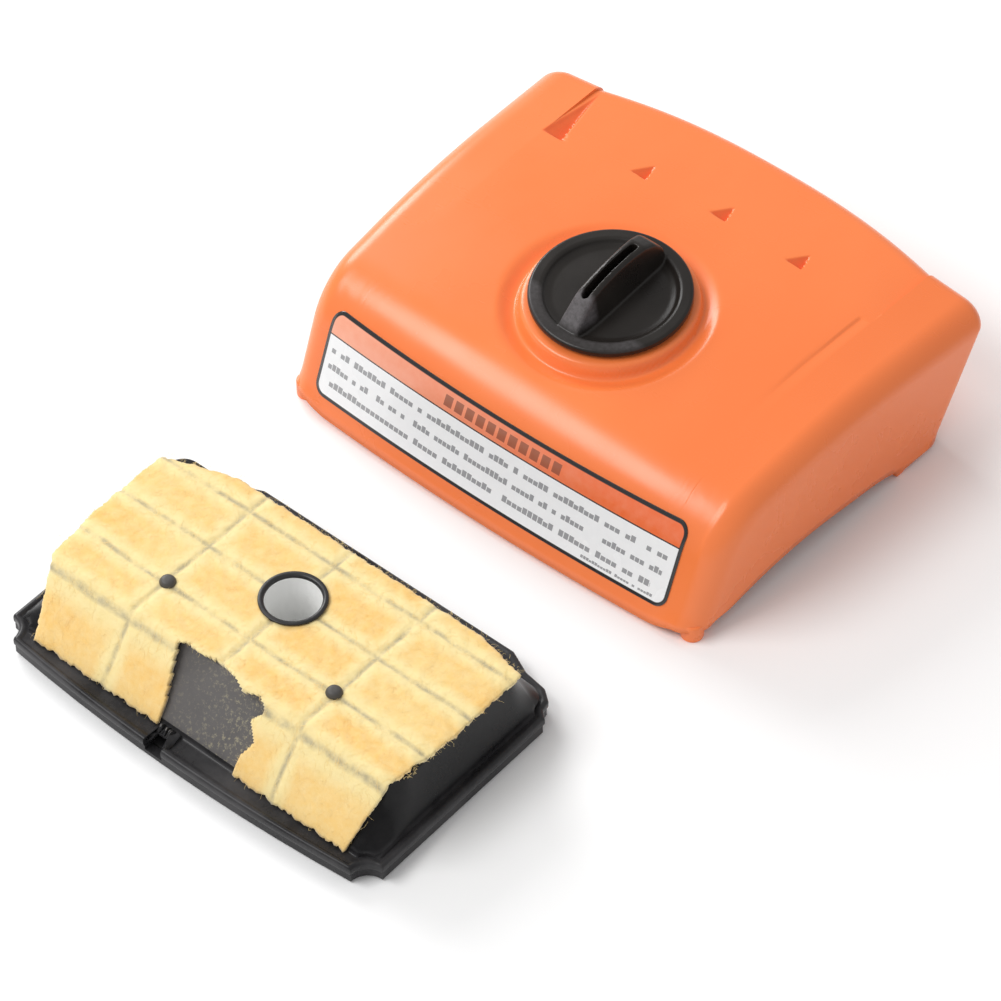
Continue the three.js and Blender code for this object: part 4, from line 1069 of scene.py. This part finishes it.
def sleeve_material():
    """The sleeve round the centre hole: black outside and at the lip, with its bore painted near white
    as painted light.
    """
    n = Nodes("sleeve_painted_backdrop")
    x, y, z = n.xyz()
    dx = n.minus(x, ELEMENT_AT[0] * MM)
    dy = n.minus(y, (ELEMENT_AT[1] + HOLE_Y) * MM)
    radius = n.math("SQRT", n.math("ADD", n.times(dx, dx), n.times(dy, dy)))
    below_lip = n.math("LESS_THAN", z, (FELT_TOP - 0.2) * MM)
    bore = n.times(n.math("LESS_THAN", radius, 6.52 * MM), below_lip)
    cloud = n.noise(240, 4)
    black = n.mix(cloud, (0.009, 0.0085, 0.009, 1), (0.018, 0.017, 0.017, 1))
    # Painted light: the bore is coloured near white to stand in for the bright backdrop seen through the
    # hole.
    n.put(Base_Color=n.mix(bore, black, n.mix(cloud, (0.9, 0.9, 0.88, 1), (0.96, 0.96, 0.95, 1))))
    n.put(Roughness=n.ramp(cloud, 0.3, 0.7, 0.3, 0.45), Normal=n.bump(n.noise(1800, 2), 0.3, 0.02))
    return n.material


RIVET_AT = (24.5, -10.6)  # either side of the element's middle
SLEEVE = [(6.4, 0.8), (7.2, 0.8), (7.3, 16.6), (9.4, 16.7), (9.4, 17.9), (7.3, 17.9), (7.35, 21.9),
          (7.9, 22.1), (7.8, 22.5), (7.0, 22.6), (6.5, 22.2)]
UPPER_TRIM = {"body": "element_upper", "slot": "knob_plastic"}


def build_rivet(side, word):
    """A rivet with a low domed head on the felt and its shank down through the crown."""
    tail, low = 15.8, FELT_TOP - 0.2
    outline = [(0, tail), (1.1, tail), (1.1, low), (1.9, low), (1.95, low + 0.4), (1.5, low + 1.2),
               (0.8, low + 1.45), (0, low + 1.45)]
    centre = ELEMENT_AT + np.array([side * RIVET_AT[0], RIVET_AT[1], 0])
    outline = rounded_profile(outline, 0.5)
    return turned(f"rivet_{word}", outline, centre, 40, replaces=[f"felt_rivet_{word}"], **UPPER_TRIM)


def build_sleeve():
    """The ring through the crown, with a collar under it and a lip over the felt."""
    centre = ELEMENT_AT + np.array([0, HOLE_Y, 0])
    outline = rounded_profile(SLEEVE, 0.4)
    return turned("hole_sleeve", outline, centre, 128, replaces=["centre_sleeve"], **UPPER_TRIM)


def soften_cad(node, width, angle=30):
    """A CAD node keeps its shape and gets slightly rounded edges."""
    step = frame["nodes"][node].modifiers.new("edge", "BEVEL")
    step.width = width * MM
    step.segments = 2
    step.limit_method = "ANGLE"
    step.angle_limit = radians(angle)
    step.use_clamp_overlap = True


def dress(obj, material):
    obj.data.materials.clear()
    obj.data.materials.append(material)


# The dents and the wedge in frame coordinates, where the orange gets its painted shade.
RECESSES = [[(x, y + COVER_Y) for x, y in corners] for corners in dent_corners() + [WEDGE]]
ORANGE = moulded_plastic(
    "orange_moulding", (0.94, 0.225, 0.06), (0.92, 0.208, 0.053), 0.27, 0.05, RECESSES
)
UPPER_FRAME = frame_plastic("upper_frame_plastic", torn=True)
LOWER_FRAME = frame_plastic("lower_frame_plastic", torn=False)
FELT = felt_material("needled_felt", FELT_COLUMNS, FELT_ROWS)
PLAIN_FELT = felt_material("plain_felt")
RIVET = moulded_plastic("rivet_moulding", (0.07, 0.065, 0.06), (0.035, 0.032, 0.03), 0.5, 0.6)
RUBBER = rubber("seal_rubber")
STEEL = metal("zinc_steel", (0.62, 0.62, 0.63), 0.32)
BRASS = metal("screen_brass", (0.7, 0.5, 0.22), 0.34)
NYLON = nylon("lock_nylon")

dress(build_cover(), ORANGE)
for side, word in ((-1, "left"), (1, "right")):
    dress(front_foot(f"front_foot_{word}", side), ORANGE)
    dress(rear_tab(f"rear_tab_{word}", side), ORANGE)
dress(build_label(), label_vinyl())
dress(build_knob(), worn_knob())
dress(build_upper_frame(), UPPER_FRAME)
dress(build_felt(), FELT)
dress(build_fibres(), PLAIN_FELT)
dress(build_lower_felt(), PLAIN_FELT)
for side, word in ((-1, "left"), (1, "right")):
    dress(build_rivet(side, word), RIVET)
dress(build_sleeve(), sleeve_material())

# CAD nodes that are seen as they are
for material, nodes in (
    (NYLON, ("lock_bushing", "lock_spindle")),
    (RUBBER, ("lock_seal_ring", "sealing_gasket", "intake_collar")),
    (STEEL, ("lock_wave_washer", "bayonet_pin", "lock_retaining_clip")),
    (STEEL, ("rivet_washer_left", "rivet_washer_right")),
    (LOWER_FRAME, ("lower_frame",)),
    (BRASS, ("intake_screen",)),
):
    for node in nodes:
        dress(frame["nodes"][node], material)
soften_cad("lower_frame", 0.25)
soften_cad("intake_collar", 0.2)
soften_cad("lock_spindle", 0.2)


# Stage

AZIMUTH, ELEVATION = radians(40.3), radians(47.7)
TARGET = Vector((-1.1, 3.456, 0)) * MM
DISTANCE = 1.035
level = cos(ELEVATION)
back = Vector((sin(AZIMUTH) * level, -cos(AZIMUTH) * level, sin(ELEVATION)))
lens = bpy.data.cameras.new("camera")
lens.lens = 161.8
lens.sensor_width = 36
lens.clip_start, lens.clip_end = 0.05, 50
camera = bpy.data.objects.new("camera", lens)
camera.location = TARGET + back * DISTANCE
camera.rotation_euler = back.to_track_quat("Z", "Y").to_euler()
link(camera)
bpy.context.scene.camera = camera


def floor():
    """A large white floor under the part."""
    span = 3000
    corners = [(-span, -span, 0), (span, -span, 0), (span, span, 0), (-span, span, 0)]
    plate = mesh_object("floor", corners, [[0, 1, 2, 3]])
    n = Nodes("studio_floor")
    tone = n.mix(n.noise(3, 2), (0.965, 0.965, 0.965, 1), (0.98, 0.98, 0.98, 1))
    n.put(Base_Color=tone, Roughness=0.85, Specular_IOR_Level=0.1)
    dress(plate, n.material)


def softbox(name, place, size_x, size_y, power):
    """A rectangular light that faces the middle of the table."""
    light = bpy.data.lights.new(name, "AREA")
    light.shape = "RECTANGLE"
    light.size, light.size_y, light.energy = size_x, size_y, power
    lamp = bpy.data.objects.new(name, light)
    lamp.location = place
    lamp.rotation_euler = Vector(place).to_track_quat("Z", "Y").to_euler()
    link(lamp)


floor()
softbox("key", (-1.15, 0.42, 0.7), 0.6, 0.6, 10)
softbox("front", (-0.6, -0.68, 1.12), 0.9, 0.55, 11)
world = bpy.data.worlds.new("studio")
world.use_nodes = True
world.node_tree.nodes["Background"].inputs["Color"].default_value = (1, 1, 1, 1)
world.node_tree.nodes["Background"].inputs["Strength"].default_value = 0.56
bpy.context.scene.world = world
bpy.context.scene.view_settings.view_transform = "Standard"
